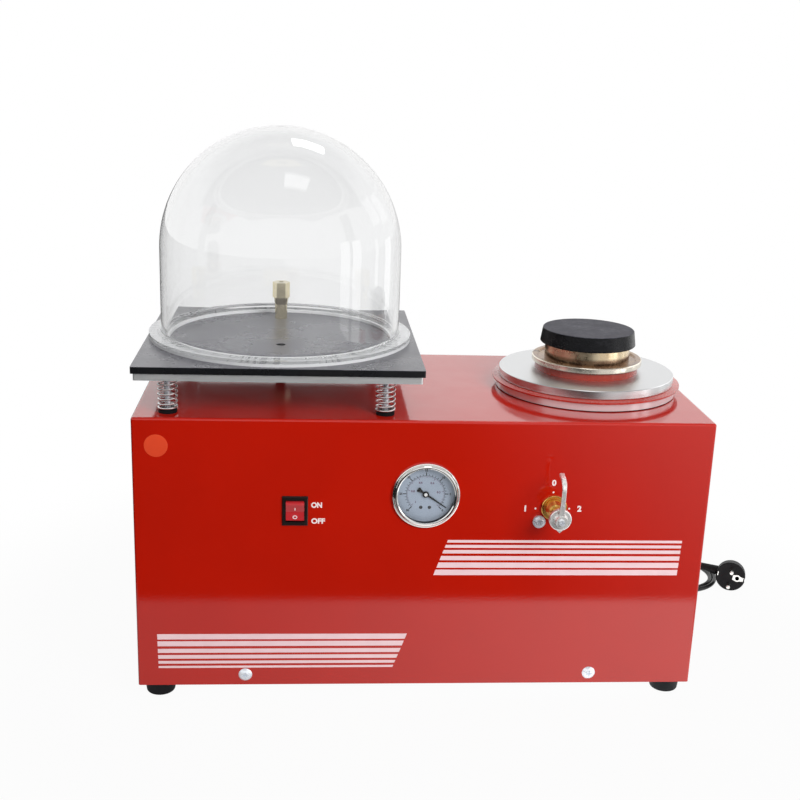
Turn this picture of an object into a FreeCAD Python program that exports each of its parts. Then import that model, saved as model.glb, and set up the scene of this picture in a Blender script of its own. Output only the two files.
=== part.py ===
import FreeCAD, Part
import math
import os

# Bench-top vacuum investing and casting machine, in millimetres.
# Every piece is drawn with x = 0 at the cabinet's middle, y = 0 at the front panel's face and
# z = 0 on the bench. export() then moves it back by ORIGIN_Y, so that the origin ends up under
# the middle of the machine's whole depth, from the lever's bow to the rear screws.

V = FreeCAD.Vector

# ---------------------------------------------------------------- driving dimensions
CABINET_W = 580.0
CABINET_D = 272.0
BODY_H = 288.5
SHEET = 1.5
FOLD_R = 2.5
PAN_LIP = 26.0
PAN_GAP = 0.2

FOOT_H = 16.0
FOOT_TOP_R = 16.5
FOOT_BOTTOM_R = 14.5
FOOT_ROUND = 2.5
FOOT_INSET = 20.5
FOOT_RECESS_R = 6.0
FOOT_RECESS_H = 9.0
FOOT_SCREW_R = 2.0
FOOT_SCREW_HEAD_R = 4.5
FOOT_SCREW_HEAD_H = 3.0

COVER_SCREW_X = 180.4
COVER_SCREW_Z = 11.5
COVER_SCREW_R = 2.0
COVER_SCREW_HEAD_R = 7.0
COVER_SCREW_HEAD_H = 3.2
COVER_SCREW_L = 10.0
SCREW_FIT = 0.2

# vents for the motor, in the rear panel and the left side
VENT_COUNT = 7
VENT_L = 70.0
VENT_W = 5.0
VENT_PITCH = 11.0
VENT_Z = 110.0
REAR_VENT_X = -95.0
SIDE_VENT_Y = 150.0

# vibrating table on four springs
TABLE_INSET = 143.0
TABLE_FORWARD = 2.6
MAT_SIDE = 282.0
MAT_T = 6.8
MAT_CORNER_R = 1.5
MAT_HOLE_R = 5.0
MAT_HOLE_LEFT = 1.0
MAT_HOLE_FORWARD = 39.4
PLATE_SIDE = 277.6
PLATE_T = 7.1
PLATE_CORNER_R = 2.0
SPRING_DX = 214.2
SPRING_DY = 222.8
SPRING_OD = 20.0
SPRING_WIRE = 1.9
SPRING_PITCH = 5.1
SPRING_L = 35.7
SPRING_STEPS = 8.0
SPRINGS_LEFT = 2.4
WASHER_R = 9.2
WASHER_T = 3.0
STUD_R = 3.0
STUD_HEAD_R = 5.6
STUD_HEAD_H = 3.2
STUD_TAIL = 3.0
BUSH_R = 4.5
BUSH_FLANGE_R = 6.6
BUSH_FLANGE_T = 2.0
BUSH_TAIL = 6.0
STUD_NUT_AF = 10.0
STUD_NUT_H = 6.0
STOP_GAP = 0.2
RUN_FIT = 0.05
HOLE_FIT = 0.1

# brass vacuum fitting under the jar
FITTING_LEFT = 4.0
FITTING_BACK = 89.6
FITTING_COLUMN_R = 7.0
FITTING_COLUMN_H = 16.5
FITTING_SHOULDER_H = 7.5
FITTING_HEX_AF = 17.0
FITTING_HEX_H = 17.5
FITTING_BORE_R = 2.5
FITTING_SHANK_R = 6.0
FITTING_NUT_AF = 19.0
FITTING_NUT_H = 6.0
HOSE_HOLE_R = 14.0

# bell jar
JAR_LEFT = 2.0
JAR_BACK = 2.6
JAR_R = 125.7
JAR_WALL = 5.5
JAR_H = 219.0
JAR_FLANGE_R = 138.2
JAR_FLANGE_T = 3.0
JAR_RING_T = 3.0
JAR_RING_INNER_R = 117.0
JAR_ROOT_R = 4.0

# casting chamber
CHAMBER_INSET = 106.0
CHAMBER_FORWARD = 2.0
CHAMBER_BORE_R = 80.0
CHAMBER_WALL = 3.0
CHAMBER_FLOOR_T = 4.0
CHAMBER_DEPTH = 190.0
CHAMBER_FLANGE_T = 5.0
RING_R = 97.5
RING_T = 7.2
SEAL_R = 97.0
SEAL_T = 1.0
RING_SCREW_COUNT = 4
RING_SCREW_PCR = 89.0
RING_SCREW_R = 2.5
RING_SCREW_HEAD_R = 5.0
RING_SCREW_TAIL = 4.0
GASKET_R = 101.5
GASKET_T = 3.9
GASKET_RIM_T = 1.5
GASKET_FOOT_R = 98.6
GASKET_MID = 1.2
ADAPTER_R = 94.5
ADAPTER_T = 9.2
ADAPTER_EDGE = 0.7
ADAPTER_HOLE_R = 47.6
CHAMBER_PORT_RIGHT = 24.0

# flask, its gasket and its rubber base
FLASK_GASKET_R = 55.7
FLASK_GASKET_T = 8.2
FLANGE_R = 59.4
FLANGE_T = 6.2
FLANGE_EDGE = 0.8
FLASK_R = 45.8
FLASK_WALL = 3.0
FLASK_BELOW = 150.0
FLASK_COLLAR = 20.8
FLASK_GROOVE_R = 54.0
FLASK_GROOVE_D = 1.6
FLASK_HOLE_R = 6.0
FLASK_HOLE_ROWS = 7
FLASK_HOLE_COLUMNS = 12
FLASK_HOLE_PITCH = 19.5
FLASK_HOLE_TOP = 16.0
CAP_TOP_R = 49.3
CAP_BASE_R = 51.4
CAP_H = 15.8
CAP_SEAT = 6.0
CAP_FIT = 0.4
CAP_EDGE = 0.8
SPRUE_ROOT_R = 41.0
SPRUE_TIP_R = 7.0
SPRUE_H = 13.0

# vacuum gauge
GAUGE_X = -0.4
GAUGE_Z = 226.9
BEZEL_R = 34.2
BEZEL_FLANGE_T = 3.0
BEZEL_FRONT = 5.0
BEZEL_BEAD = 0.8
BEZEL_GROOVE_R = 32.2
BEZEL_OPENING_R = 28.8
BEZEL_LIP = 1.4
GAUGE_CASE_R = 31.0
GAUGE_CASE_WALL = 1.2
GAUGE_CASE_BACK = 28.0
LENS_T = 2.0
LENS_FIT = 0.2
DIAL_T = 0.8
DIAL_Y = 4.0
NEEDLE_T = 0.6
NEEDLE_L = 25.5
NEEDLE_TIP_W = 0.7
NEEDLE_TAIL = 9.6
NEEDLE_TAIL_W = 5.2
NEEDLE_HUB_R = 3.2
NEEDLE_HUB_H = 1.6
NEEDLE_SHAFT_R = 0.9
NEEDLE_REST = -34.0
GAUGE_CLAMP_W = 14.0
GAUGE_CLAMP_T = 1.5

# three-way valve and its lever
VALVE_X = 130.1
VALVE_Z = 214.5
VALVE_BLOCK_W = 50.0
VALVE_BLOCK_H = 40.0
VALVE_BLOCK_D = 34.0
VALVE_BLOCK_Y = 4.0
VALVE_NECK_R = 9.0
VALVE_FLANGE_R = 13.1
VALVE_FLANGE_T = 3.0
VALVE_DOME_H = 13.0
PLUG_R = 8.0
STEM_R = 4.0
PORT_R = 2.6
LEVER_REACH = 43.2
LEVER_HUB_Y = 31.0
LEVER_DISC_R = 11.2
LEVER_DISC_T = 4.0
LEVER_POINT = 14.0
LEVER_BOSS_R = 6.5
LEVER_BOSS_T = 6.0
LEVER_ARM_L = 46.0
LEVER_ARM_T = 3.2
LEVER_ROOT_Y = 38.0
LEVER_BEND_Y = 42.4
LEVER_BEND_Z = 40.4
LEVER_TIP_Y = 25.0
LEVER_ROOT_W = 6.4
LEVER_WAIST_W = 4.3
LEVER_TIP_W = 5.4
LEVER_SCREW_R = 3.0
LEVER_SCREW_H = 2.2
BRACKET_T = 2.0
PANEL_SCREW_X = 115.8
PANEL_SCREW_Z = 199.3
PANEL_SCREW_R = 2.5
PANEL_SCREW_HEAD_R = 6.5
PANEL_SCREW_HEAD_H = 2.2
PANEL_SCREW_CAP_R = 4.6
PANEL_SCREW_CAP_H = 2.4

# rocker switch
SWITCH_X = -130.8
SWITCH_Z = 209.5
SWITCH_W = 25.6
SWITCH_H = 30.8
SWITCH_LIP = 2.2
SWITCH_BODY_GAP = 1.4
SWITCH_BODY_D = 22.0
ROCKER_W = 18.2
ROCKER_R = 11.0
ROCKER_PIVOT_Y = 3.0
ROCKER_VALLEY_Y = -1.6
ROCKER_EAR_Y = -3.6
ROCKER_BACK_Y = 6.0
ROCKER_TILT = 10.0
ROCKER_PIN_R = 1.5
ROCKER_PIN_L = 1.4
ROCKER_GAP = 0.3
TERMINAL_W = 6.3
TERMINAL_T = 0.8
TERMINAL_L = 9.0
TERMINAL_PITCH = 9.0

# hoses and barbs
HOSE_R = 6.0
HOSE_BORE_R = 3.3
BARB_R = 3.2
BARB_CORE_R = 2.7
BARB_L = 18.0
BARB_RIDGES = 3

# vacuum pump and motor, on one shaft along x
SHAFT_Y = 150.0
SHAFT_Z = 92.0
SHAFT_R = 7.0
PUMP_LEFT = -224.0
PUMP_L = 64.0
PUMP_HALF_D = 45.0
PUMP_TOP = 46.0
PUMP_BORE_R = 30.0
PUMP_BORE_L = 58.0
PUMP_ROTOR_R = 27.0
PUMP_ROTOR_GAP = 0.2
PUMP_VANE_T = 4.0
PUMP_VANE_L = 16.0
PUMP_COVER_T = 8.0
PUMP_COVER_INSET = 1.0
PUMP_COVER_SCREW_R = 2.5
PUMP_COVER_SCREW_L = 11.0
PUMP_COVER_HEAD_R = 4.2
PUMP_COVER_HEAD_H = 4.5
PUMP_CORNER_R = 12.0
PUMP_PORT_DROP = 24.0
MOTOR_R = 55.0
MOTOR_L = 140.0
MOTOR_BORE_R = 30.5
MOTOR_END_T = 22.0
CORE_R = 30.0
FAN_R = 46.0
FAN_HUB_R = 12.0
FAN_W = 16.0
FAN_BLADES = 7
FAN_BLADE_T = 1.8
FAN_PITCH_DEG = 35.0
FAN_GAP = 5.0
FAN_COVER_T = 1.2
FAN_COVER_L = 34.0
FAN_SLOTS = 10
CRADLE_T = 3.0
CRADLE_MARGIN = 14.0
SADDLE_W = 18.0
SADDLE_HALF_D = 40.0
GROMMET_R = 10.0
GROMMET_H = 8.0
GROMMET_BOLT_R = 3.0
GROMMET_BOLT_HEAD_R = 5.5
GROMMET_BOLT_HEAD_H = 3.0

# mains lead
CORD_R = 2.75
GLAND_X = 236.0
GLAND_Z = 53.0
GLAND_NECK_R = 7.0
GLAND_COLLAR_R = 9.5
GLAND_COLLAR_T = 4.0
GLAND_L = 32.0
GLAND_INNER_L = 10.0
GLAND_TIP_R = 4.6
LOOP_X = 367.0
LOOP_Y = 304.5
LOOP_OUTER_R = 53.6
LOOP_INNER_R = 42.4
LOOP_H = 5.6
COIL_X = 360.5
COIL_OUTER_R = 36.1
COIL_INNER_R = 24.9
COIL_H = 10.4
COIL_ROUND = 2.2
PLUG_X = 426.0
PLUG_Y = 260.0
PLUG_Z = 18.6
PLUG_FACE_R = 18.5
PLUG_FACE_L = 15.0
PLUG_L = 29.0
PLUG_SPOUT_R = 7.5
PLUG_SPOUT_TIP_R = 4.2
PLUG_SPOUT_L = 42.0
PLUG_SPOUT_DEPTH = 14.0
PLUG_TURN = 22.0
PLUG_TILT = 8.0
PLUG_ROLL = 7.0
PIN_R = 2.4
PIN_L = 19.0
PIN_SPACING = 19.0
EARTH_HOLE_R = 2.6
EARTH_HOLE_L = 14.0
EARTH_HOLE_Y = 8.6
EARTH_CLIP_W = 5.0
EARTH_CLIP_T = 1.0
EARTH_CLIP_D = 3.2
LEAD_R = 3.0

# ---------------------------------------------------------------- places of the two stations on the cabinet
TABLE_X = -CABINET_W / 2 + TABLE_INSET
TABLE_Y = CABINET_D / 2 - TABLE_FORWARD
SPRING_MIDDLE_X = TABLE_X - SPRINGS_LEFT
MAT_HOLE_X = TABLE_X - MAT_HOLE_LEFT
MAT_HOLE_Y = TABLE_Y - MAT_HOLE_FORWARD
FITTING_X = TABLE_X - FITTING_LEFT
FITTING_Y = TABLE_Y + FITTING_BACK
JAR_X = TABLE_X - JAR_LEFT
JAR_Y = TABLE_Y + JAR_BACK
CHAMBER_X = CABINET_W / 2 - CHAMBER_INSET
CHAMBER_Y = CABINET_D / 2 - CHAMBER_FORWARD
CHAMBER_PORT_X = CHAMBER_X + CHAMBER_PORT_RIGHT

# ---------------------------------------------------------------- levels worked out from the above
TOP_Z = FOOT_H + BODY_H
PLATE_Z = TOP_Z + WASHER_T + SPRING_L
MAT_Z = PLATE_Z + PLATE_T
JAR_Z = MAT_Z + MAT_T
SPRING_R = (SPRING_OD - SPRING_WIRE) / 2.0
RING_Z = TOP_Z + SEAL_T
GASKET_Z = RING_Z + RING_T
ADAPTER_Z = GASKET_Z + GASKET_T
FLASK_GASKET_Z = ADAPTER_Z + ADAPTER_T
FLANGE_Z = FLASK_GASKET_Z + FLASK_GASKET_T
CAP_Z = FLANGE_Z + FLANGE_T + FLASK_COLLAR - CAP_SEAT
TUB_TOP = TOP_Z - SHEET
TUB_BOTTOM = TUB_TOP - CHAMBER_DEPTH
PAN_TOP = FOOT_H + SHEET
CRADLE_Z = PAN_TOP + GROMMET_H
MOTOR_LEFT = PUMP_LEFT + PUMP_L
MOTOR_RIGHT = MOTOR_LEFT + MOTOR_L

# origin under the middle of the whole depth: lever in front, screw heads behind
ORIGIN_Y = (CABINET_D + COVER_SCREW_HEAD_H - LEVER_REACH) / 2.0

Z_AXIS = V(0, 0, 1)
FRONT = V(0, -1, 0)
BACK = V(0, 1, 0)
RIGHT = V(1, 0, 0)
LEFT = V(-1, 0, 0)
DOWN = V(0, 0, -1)


# ---------------------------------------------------------------- small helpers
def export(shape, name):
    """Write one node, moved from the front-panel frame to the machine's own origin."""
    placed = shape.copy()
    placed.translate(V(0, -ORIGIN_Y, 0))
    placed.exportStep("parts/" + name + ".step")
    print(name, "solids", len(placed.Solids), "volume", round(placed.Volume, 1))


def cyl(radius, length, base, axis=Z_AXIS):
    return Part.makeCylinder(radius, length, base, axis)


def box(x0, x1, y0, y1, z0, z1):
    return Part.makeBox(x1 - x0, y1 - y0, z1 - z0, V(x0, y0, z0))


def group(shapes):
    return Part.makeCompound(shapes)


def turn_to(shape, base, axis):
    """Move a shape drawn along +Z from the origin so that it runs along axis from base."""
    moved = shape.copy()
    moved.Placement = FreeCAD.Placement(base, FreeCAD.Rotation(Z_AXIS, axis))
    return moved


def revolved(profile, base, axis=Z_AXIS):
    """Turn a closed (radius, height) outline into a round solid standing on base."""
    points = [V(r, 0, h) for r, h in profile]
    face = Part.Face(Part.makePolygon(points + [points[0]]))
    return turn_to(face.revolve(V(0, 0, 0), Z_AXIS, 360), base, axis)


def hexagon(across_flats, length, base, axis=Z_AXIS):
    corner = across_flats / math.sqrt(3.0)
    points = []
    for i in range(7):
        angle = math.radians(60 * i)
        points.append(V(corner * math.cos(angle), corner * math.sin(angle), 0))
    prism = Part.Face(Part.makePolygon(points)).extrude(V(0, 0, length))
    return turn_to(prism, base, axis)


def slab(side_x, side_y, thickness, centre, corner_r):
    """A flat plate with rounded corners; centre is in the middle of its underside."""
    plate = Part.makeBox(side_x, side_y, thickness, centre - V(side_x / 2, side_y / 2, 0))
    edges = [e for e in plate.Edges if abs(e.tangentAt(e.FirstParameter).z) > 0.9]
    return plate.makeFillet(corner_r, edges)


def barb(base, axis, length=BARB_L):
    """Hose tail with saw-tooth ridges and a bore right through."""
    step = length / BARB_RIDGES
    profile = [(PORT_R, 0), (BARB_R, 0)]
    for i in range(BARB_RIDGES):
        profile.append((BARB_R, i * step + 0.2 * step))
        profile.append((BARB_CORE_R, (i + 1) * step))
        if i < BARB_RIDGES - 1:
            profile.append((BARB_R, (i + 1) * step))
    profile.append((PORT_R, length))
    profile = [(max(r, PORT_R), h) for r, h in profile]
    outline = [profile[0]]
    for point in profile[1:]:
        if point != outline[-1]:
            outline.append(point)
    return revolved([(PORT_R - 0.8, 0)] + outline[1:-1] + [(PORT_R - 0.8, length)], base, axis)


def route(points, name):
    """Straight runs joined by tangent arcs, each as large as its two runs allow."""
    edges = []
    start = points[0]
    radii = []
    for i in range(1, len(points) - 1):
        corner = points[i]
        run_in = corner - points[i - 1]
        run_out = points[i + 1] - corner
        u_in = V(run_in).normalize()
        u_out = V(run_out).normalize()
        half = u_in.getAngle(u_out) / 2.0
        reach = 0.45 * min(run_in.Length, run_out.Length)
        radius = reach / math.tan(half)
        inward = (u_out - u_in).normalize()
        centre = corner + inward * (radius / math.cos(half))
        arc_start = corner - u_in * reach
        arc_end = corner + u_out * reach
        edges.append(Part.LineSegment(start, arc_start).toShape())
        edges.append(Part.Arc(arc_start, centre - inward * radius, arc_end).toShape())
        radii.append(round(radius, 1))
        start = arc_end
    edges.append(Part.LineSegment(start, points[-1]).toShape())
    wire = Part.Wire(edges)
    print(name, "radii", radii, "length", round(wire.Length, 1))
    return wire


def swept(points, name, radius, bore=0.0):
    """Round bar or pipe along a route."""
    path = route(points, name)
    direction = points[1] - points[0]
    solid = pipe(path, points[0], direction, radius)
    section = math.pi * radius * radius
    print(name, "volume over section x length", round(solid.Volume / (section * path.Length), 5))
    if bore > 0:
        solid = solid.cut(pipe(path, points[0], direction, bore))
    return solid


def pipe(path, start, direction, radius):
    circle = Part.Wire(Part.makeCircle(radius, start, direction))
    return path.makePipeShell([circle], True, False)


# ---------------------------------------------------------------- cabinet
def spring_places():
    """The four table posts, as points on the cabinet's top."""
    for sx in (-0.5, 0.5):
        for sy in (-0.5, 0.5):
            yield V(SPRING_MIDDLE_X + sx * SPRING_DX, TABLE_Y + sy * SPRING_DY, TOP_Z)


def foot_places():
    for x in (-CABINET_W / 2 + FOOT_INSET, CABINET_W / 2 - FOOT_INSET):
        for y in (FOOT_INSET, CABINET_D - FOOT_INSET):
            yield V(x, y, 0)


def cover_screw_places():
    """Base and outward direction of each cover screw: two in front and two behind."""
    z = FOOT_H + COVER_SCREW_Z
    for x in (-COVER_SCREW_X, COVER_SCREW_X):
        yield V(x, 0, z), FRONT
        yield V(x, CABINET_D, z), BACK


def ring_screw_places(z):
    for i in range(RING_SCREW_COUNT):
        angle = math.radians(45 + 360.0 * i / RING_SCREW_COUNT)
        x = CHAMBER_X + RING_SCREW_PCR * math.cos(angle)
        yield V(x, CHAMBER_Y + RING_SCREW_PCR * math.sin(angle), z)


def folded_box(inset, radius, z0, z1):
    """Block with its upright and top edges rounded, inset from the cabinet's outside."""
    block = box(-CABINET_W / 2 + inset, CABINET_W / 2 - inset, inset, CABINET_D - inset, z0, z1)
    edges = []
    for edge in block.Edges:
        middle = edge.CenterOfMass
        upright = abs(edge.tangentAt(edge.FirstParameter).z) > 0.9
        if upright or abs(middle.z - z1) < 0.01:
            edges.append(edge)
    return block.makeFillet(radius, edges)


def vent_slot(centre, along, through):
    """Obround cutter: along is the slot's length direction, through is its depth direction."""
    half = (VENT_L - VENT_W) / 2.0
    depth = 6.0
    start = centre - through * (depth / 2.0)
    ends = [cyl(VENT_W / 2.0, depth, start + along * s, through) for s in (-half, half)]
    across = along.cross(through)
    corner = start - along * half - across * (VENT_W / 2.0)
    face = Part.Face(Part.makePolygon([
        corner,
        corner + along * (2 * half),
        corner + along * (2 * half) + across * VENT_W,
        corner + across * VENT_W,
        corner,
    ]))
    return face.extrude(through * depth).fuse(ends).removeSplitter()


def cabinet_cover():
    shell = folded_box(0, FOLD_R, FOOT_H, TOP_Z)
    inner = folded_box(SHEET, FOLD_R - SHEET, FOOT_H - 5, TOP_Z - SHEET)
    shell = shell.cut(inner)
    deep = SHEET + 4
    cuts = [cyl(CHAMBER_BORE_R, deep, V(CHAMBER_X, CHAMBER_Y, TOP_Z - deep + 2))]
    for place in spring_places():
        cuts.append(cyl(BUSH_R + HOLE_FIT, deep, place - V(0, 0, deep - 2)))
    for place in ring_screw_places(TOP_Z - deep + 2):
        cuts.append(cyl(RING_SCREW_R + SCREW_FIT, deep, place))
    cuts.append(cyl(HOSE_HOLE_R, deep, V(FITTING_X, FITTING_Y, TOP_Z - deep + 2)))
    cuts.append(cyl(GAUGE_CASE_R + 0.6, deep, V(GAUGE_X, -2, GAUGE_Z), BACK))
    cuts.append(cyl(VALVE_NECK_R + SCREW_FIT, deep, V(VALVE_X, -2, VALVE_Z), BACK))
    cuts.append(cyl(PANEL_SCREW_R + SCREW_FIT, deep, V(PANEL_SCREW_X, -2, PANEL_SCREW_Z), BACK))
    half_w = SWITCH_W / 2 - SWITCH_BODY_GAP + 0.2
    half_h = SWITCH_H / 2 - SWITCH_BODY_GAP + 0.2
    cuts.append(box(SWITCH_X - half_w, SWITCH_X + half_w, -2, deep, SWITCH_Z - half_h, SWITCH_Z + half_h))
    for place, out in cover_screw_places():
        cuts.append(cyl(COVER_SCREW_R + SCREW_FIT, deep, place + out * 2, out * -1))
    cuts.append(cyl(GLAND_NECK_R + HOLE_FIT, deep, V(GLAND_X, CABINET_D + 2, GLAND_Z), FRONT))
    for i in range(VENT_COUNT):
        z = VENT_Z + i * VENT_PITCH
        cuts.append(vent_slot(V(REAR_VENT_X, CABINET_D, z), RIGHT, BACK))
        cuts.append(vent_slot(V(-CABINET_W / 2, SIDE_VENT_Y, z), BACK, RIGHT))
    return shell.cut(cuts)


def base_pan():
    inset = SHEET + PAN_GAP
    half = CABINET_W / 2 - inset
    outer = box(-half, half, inset, CABINET_D - inset, FOOT_H, FOOT_H + PAN_LIP)
    edges = [e for e in outer.Edges if abs(e.tangentAt(e.FirstParameter).z) > 0.9]
    outer = outer.makeFillet(FOLD_R, edges)
    inset += SHEET
    inner = box(-CABINET_W / 2 + inset, CABINET_W / 2 - inset, inset, CABINET_D - inset,
                PAN_TOP, FOOT_H + PAN_LIP + 5)
    edges = [e for e in inner.Edges if abs(e.tangentAt(e.FirstParameter).z) > 0.9]
    pan = outer.cut(inner.makeFillet(FOLD_R - SHEET, edges))
    cuts = []
    for place in foot_places():
        cuts.append(cyl(FOOT_SCREW_R + SCREW_FIT, SHEET + 2, place + V(0, 0, FOOT_H - 1)))
    for place, out in cover_screw_places():
        cuts.append(cyl(COVER_SCREW_R + SCREW_FIT, COVER_SCREW_L, place, out * -1))
    for place in grommet_places():
        cuts.append(cyl(GROMMET_BOLT_R + SCREW_FIT, SHEET + 2, place - V(0, 0, SHEET + 1)))
    return pan.cut(cuts)


def rubber_feet():
    feet = []
    for place in foot_places():
        foot = Part.makeCone(FOOT_BOTTOM_R, FOOT_TOP_R, FOOT_H, place, Z_AXIS)
        rim = [e for e in foot.Edges if len(e.Vertexes) == 1 and abs(e.CenterOfMass.z) < 0.01]
        foot = foot.makeFillet(FOOT_ROUND, rim)
        foot = foot.cut(cyl(FOOT_RECESS_R, FOOT_RECESS_H, place))
        feet.append(foot.cut(cyl(FOOT_SCREW_R + SCREW_FIT, FOOT_H, place)))
    return group(feet)


def foot_screws():
    screws = []
    for place in foot_places():
        head_z = FOOT_RECESS_H - FOOT_SCREW_HEAD_H
        head = cyl(FOOT_SCREW_HEAD_R, FOOT_SCREW_HEAD_H, place + V(0, 0, head_z))
        shank = cyl(FOOT_SCREW_R, FOOT_H + SHEET + 3 - FOOT_RECESS_H, place + V(0, 0, FOOT_RECESS_H))
        screws.append(head.fuse(shank).removeSplitter())
    return group(screws)


def truss_screw(place, out, radius, head_r, head_h, length):
    """Screw with a low domed head lying on the sheet, its shank pointing inwards."""
    dome_r = (head_r ** 2 + head_h ** 2) / (2 * head_h)
    ball = Part.makeSphere(dome_r, place - out * (dome_r - head_h))
    head = ball.common(cyl(head_r + 1, head_h + 1, place, out))
    return head.fuse(cyl(radius, length, place - out * length, out)).removeSplitter()


def cover_screws():
    screws = []
    for place, out in cover_screw_places():
        screws.append(truss_screw(place, out, COVER_SCREW_R, COVER_SCREW_HEAD_R, COVER_SCREW_HEAD_H,
                                  COVER_SCREW_L))
    return group(screws)


# ---------------------------------------------------------------- vibrating table
def table_spring():
    """Compression spring with one closed turn at each end, its wire swept along one smooth path."""
    low = SPRING_WIRE / 2.0
    end_rise = SPRING_WIRE * 1.05
    open_rise = SPRING_L - SPRING_WIRE - 2 * end_rise
    turns = round(2 * open_rise / SPRING_PITCH) / 2.0
    steps = int((turns + 2) * SPRING_STEPS)
    points = []
    for i in range(steps + 1):
        turn = i / SPRING_STEPS
        rise = end_rise * min(turn, 1) + end_rise * max(turn - 1 - turns, 0)
        rise += open_rise * min(max(turn - 1, 0), turns) / turns
        angle = 2 * math.pi * turn
        points.append(V(SPRING_R * math.cos(angle), SPRING_R * math.sin(angle), low + rise))
    path = Part.BSplineCurve()
    path.interpolate(points)
    wire_end = Part.Wire(Part.makeCircle(low, points[0], path.tangent(path.FirstParameter)[0]))
    return Part.Wire(path.toShape()).makePipeShell([wire_end], True, True)


def table_springs():
    one = table_spring()
    springs = []
    for place in spring_places():
        spring = one.copy()
        spring.translate(place + V(0, 0, WASHER_T))
        springs.append(spring)
    return group(springs)


def spring_washers():
    rings = []
    for place in spring_places():
        ring = cyl(WASHER_R, WASHER_T, place)
        rings.append(ring.cut(cyl(BUSH_R + HOLE_FIT, WASHER_T, place)))
    return group(rings)


def guide_bushes():
    bushes = []
    for place in spring_places():
        tail = SHEET + BUSH_TAIL
        body = cyl(BUSH_R, WASHER_T + tail, place - V(0, 0, tail))
        flange = cyl(BUSH_FLANGE_R, BUSH_FLANGE_T, place + V(0, 0, WASHER_T))
        lip_z = BUSH_R + 1.2
        lip = Part.makeCone(lip_z, BUSH_R, 2.5, place - V(0, 0, SHEET + 2.5 + HOLE_FIT), Z_AXIS)
        bore = cyl(STUD_R + RUN_FIT, WASHER_T + tail + BUSH_FLANGE_T + 2, place - V(0, 0, tail + 1))
        bushes.append(body.fuse([flange, lip]).removeSplitter().cut(bore))
    return group(bushes)


def stud_bottom():
    return TOP_Z - SHEET - BUSH_TAIL - STOP_GAP - STUD_NUT_H - STUD_TAIL


def table_studs():
    studs = []
    for place in spring_places():
        bottom = V(place.x, place.y, stud_bottom())
        shank = cyl(STUD_R, MAT_Z - stud_bottom(), bottom)
        under = V(place.x, place.y, MAT_Z - STUD_HEAD_H)
        head = Part.makeCone(STUD_R, STUD_HEAD_R, STUD_HEAD_H, under, Z_AXIS)
        studs.append(shank.fuse(head).removeSplitter())
    return group(studs)


def stud_nuts():
    nuts = []
    for place in spring_places():
        base = V(place.x, place.y, stud_bottom() + STUD_TAIL)
        nut = hexagon(STUD_NUT_AF, STUD_NUT_H, base)
        nuts.append(nut.cut(cyl(STUD_R + RUN_FIT, STUD_NUT_H, base)))
    return group(nuts)


def table_plate():
    plate = slab(PLATE_SIDE, PLATE_SIDE, PLATE_T, V(TABLE_X, TABLE_Y, PLATE_Z), PLATE_CORNER_R)
    cuts = []
    for place in spring_places():
        centre = V(place.x, place.y, PLATE_Z)
        cuts.append(cyl(STUD_R + RUN_FIT, PLATE_T, centre))
        sink = V(place.x, place.y, MAT_Z - STUD_HEAD_H)
        cuts.append(Part.makeCone(STUD_R + RUN_FIT, STUD_HEAD_R + RUN_FIT, STUD_HEAD_H, sink, Z_AXIS))
    cuts.append(cyl(FITTING_SHANK_R + HOLE_FIT, PLATE_T, V(FITTING_X, FITTING_Y, PLATE_Z)))
    return plate.cut(cuts)


def table_mat():
    mat = slab(MAT_SIDE, MAT_SIDE, MAT_T, V(TABLE_X, TABLE_Y, MAT_Z), MAT_CORNER_R)
    mat = mat.cut(cyl(FITTING_SHANK_R + HOLE_FIT, MAT_T, V(FITTING_X, FITTING_Y, MAT_Z)))
    return mat.cut(cyl(MAT_HOLE_R, MAT_T, V(MAT_HOLE_X, MAT_HOLE_Y, MAT_Z)))


def vacuum_fitting():
    """Brass stand pipe under the jar, its nut under the plate and its hose tail."""
    foot = V(FITTING_X, FITTING_Y, JAR_Z)
    hex_r = FITTING_HEX_AF / 2.0
    column = cyl(FITTING_COLUMN_R, FITTING_COLUMN_H, foot)
    neck = foot + V(0, 0, FITTING_COLUMN_H)
    shoulder = Part.makeCone(FITTING_COLUMN_R, hex_r, FITTING_SHOULDER_H, neck, Z_AXIS)
    head_z = FITTING_COLUMN_H + FITTING_SHOULDER_H
    head = hexagon(FITTING_HEX_AF, FITTING_HEX_H, foot + V(0, 0, head_z))
    shank = cyl(FITTING_SHANK_R, MAT_T + PLATE_T, V(FITTING_X, FITTING_Y, PLATE_Z))
    nut = hexagon(FITTING_NUT_AF, FITTING_NUT_H, V(FITTING_X, FITTING_Y, PLATE_Z - FITTING_NUT_H))
    body = column.fuse([shoulder, head, shank, nut]).removeSplitter()
    bore = cyl(FITTING_BORE_R, FITTING_NUT_H + PLATE_T + MAT_T + head_z + FITTING_HEX_H,
               V(FITTING_X, FITTING_Y, PLATE_Z - FITTING_NUT_H))
    tail = barb(V(FITTING_X, FITTING_Y, PLATE_Z - FITTING_NUT_H), DOWN)
    return body.cut(bore).fuse(tail).removeSplitter()


# ---------------------------------------------------------------- bell jar
def dome_profile(radius, straight):
    """Quarter-round outline in the x-z plane: up a straight wall, then over to the axis."""
    shoulder = V(radius, 0, straight)
    s = radius * math.sqrt(0.5)
    return shoulder, V(s, 0, straight + s), V(0, 0, straight + radius)


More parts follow.
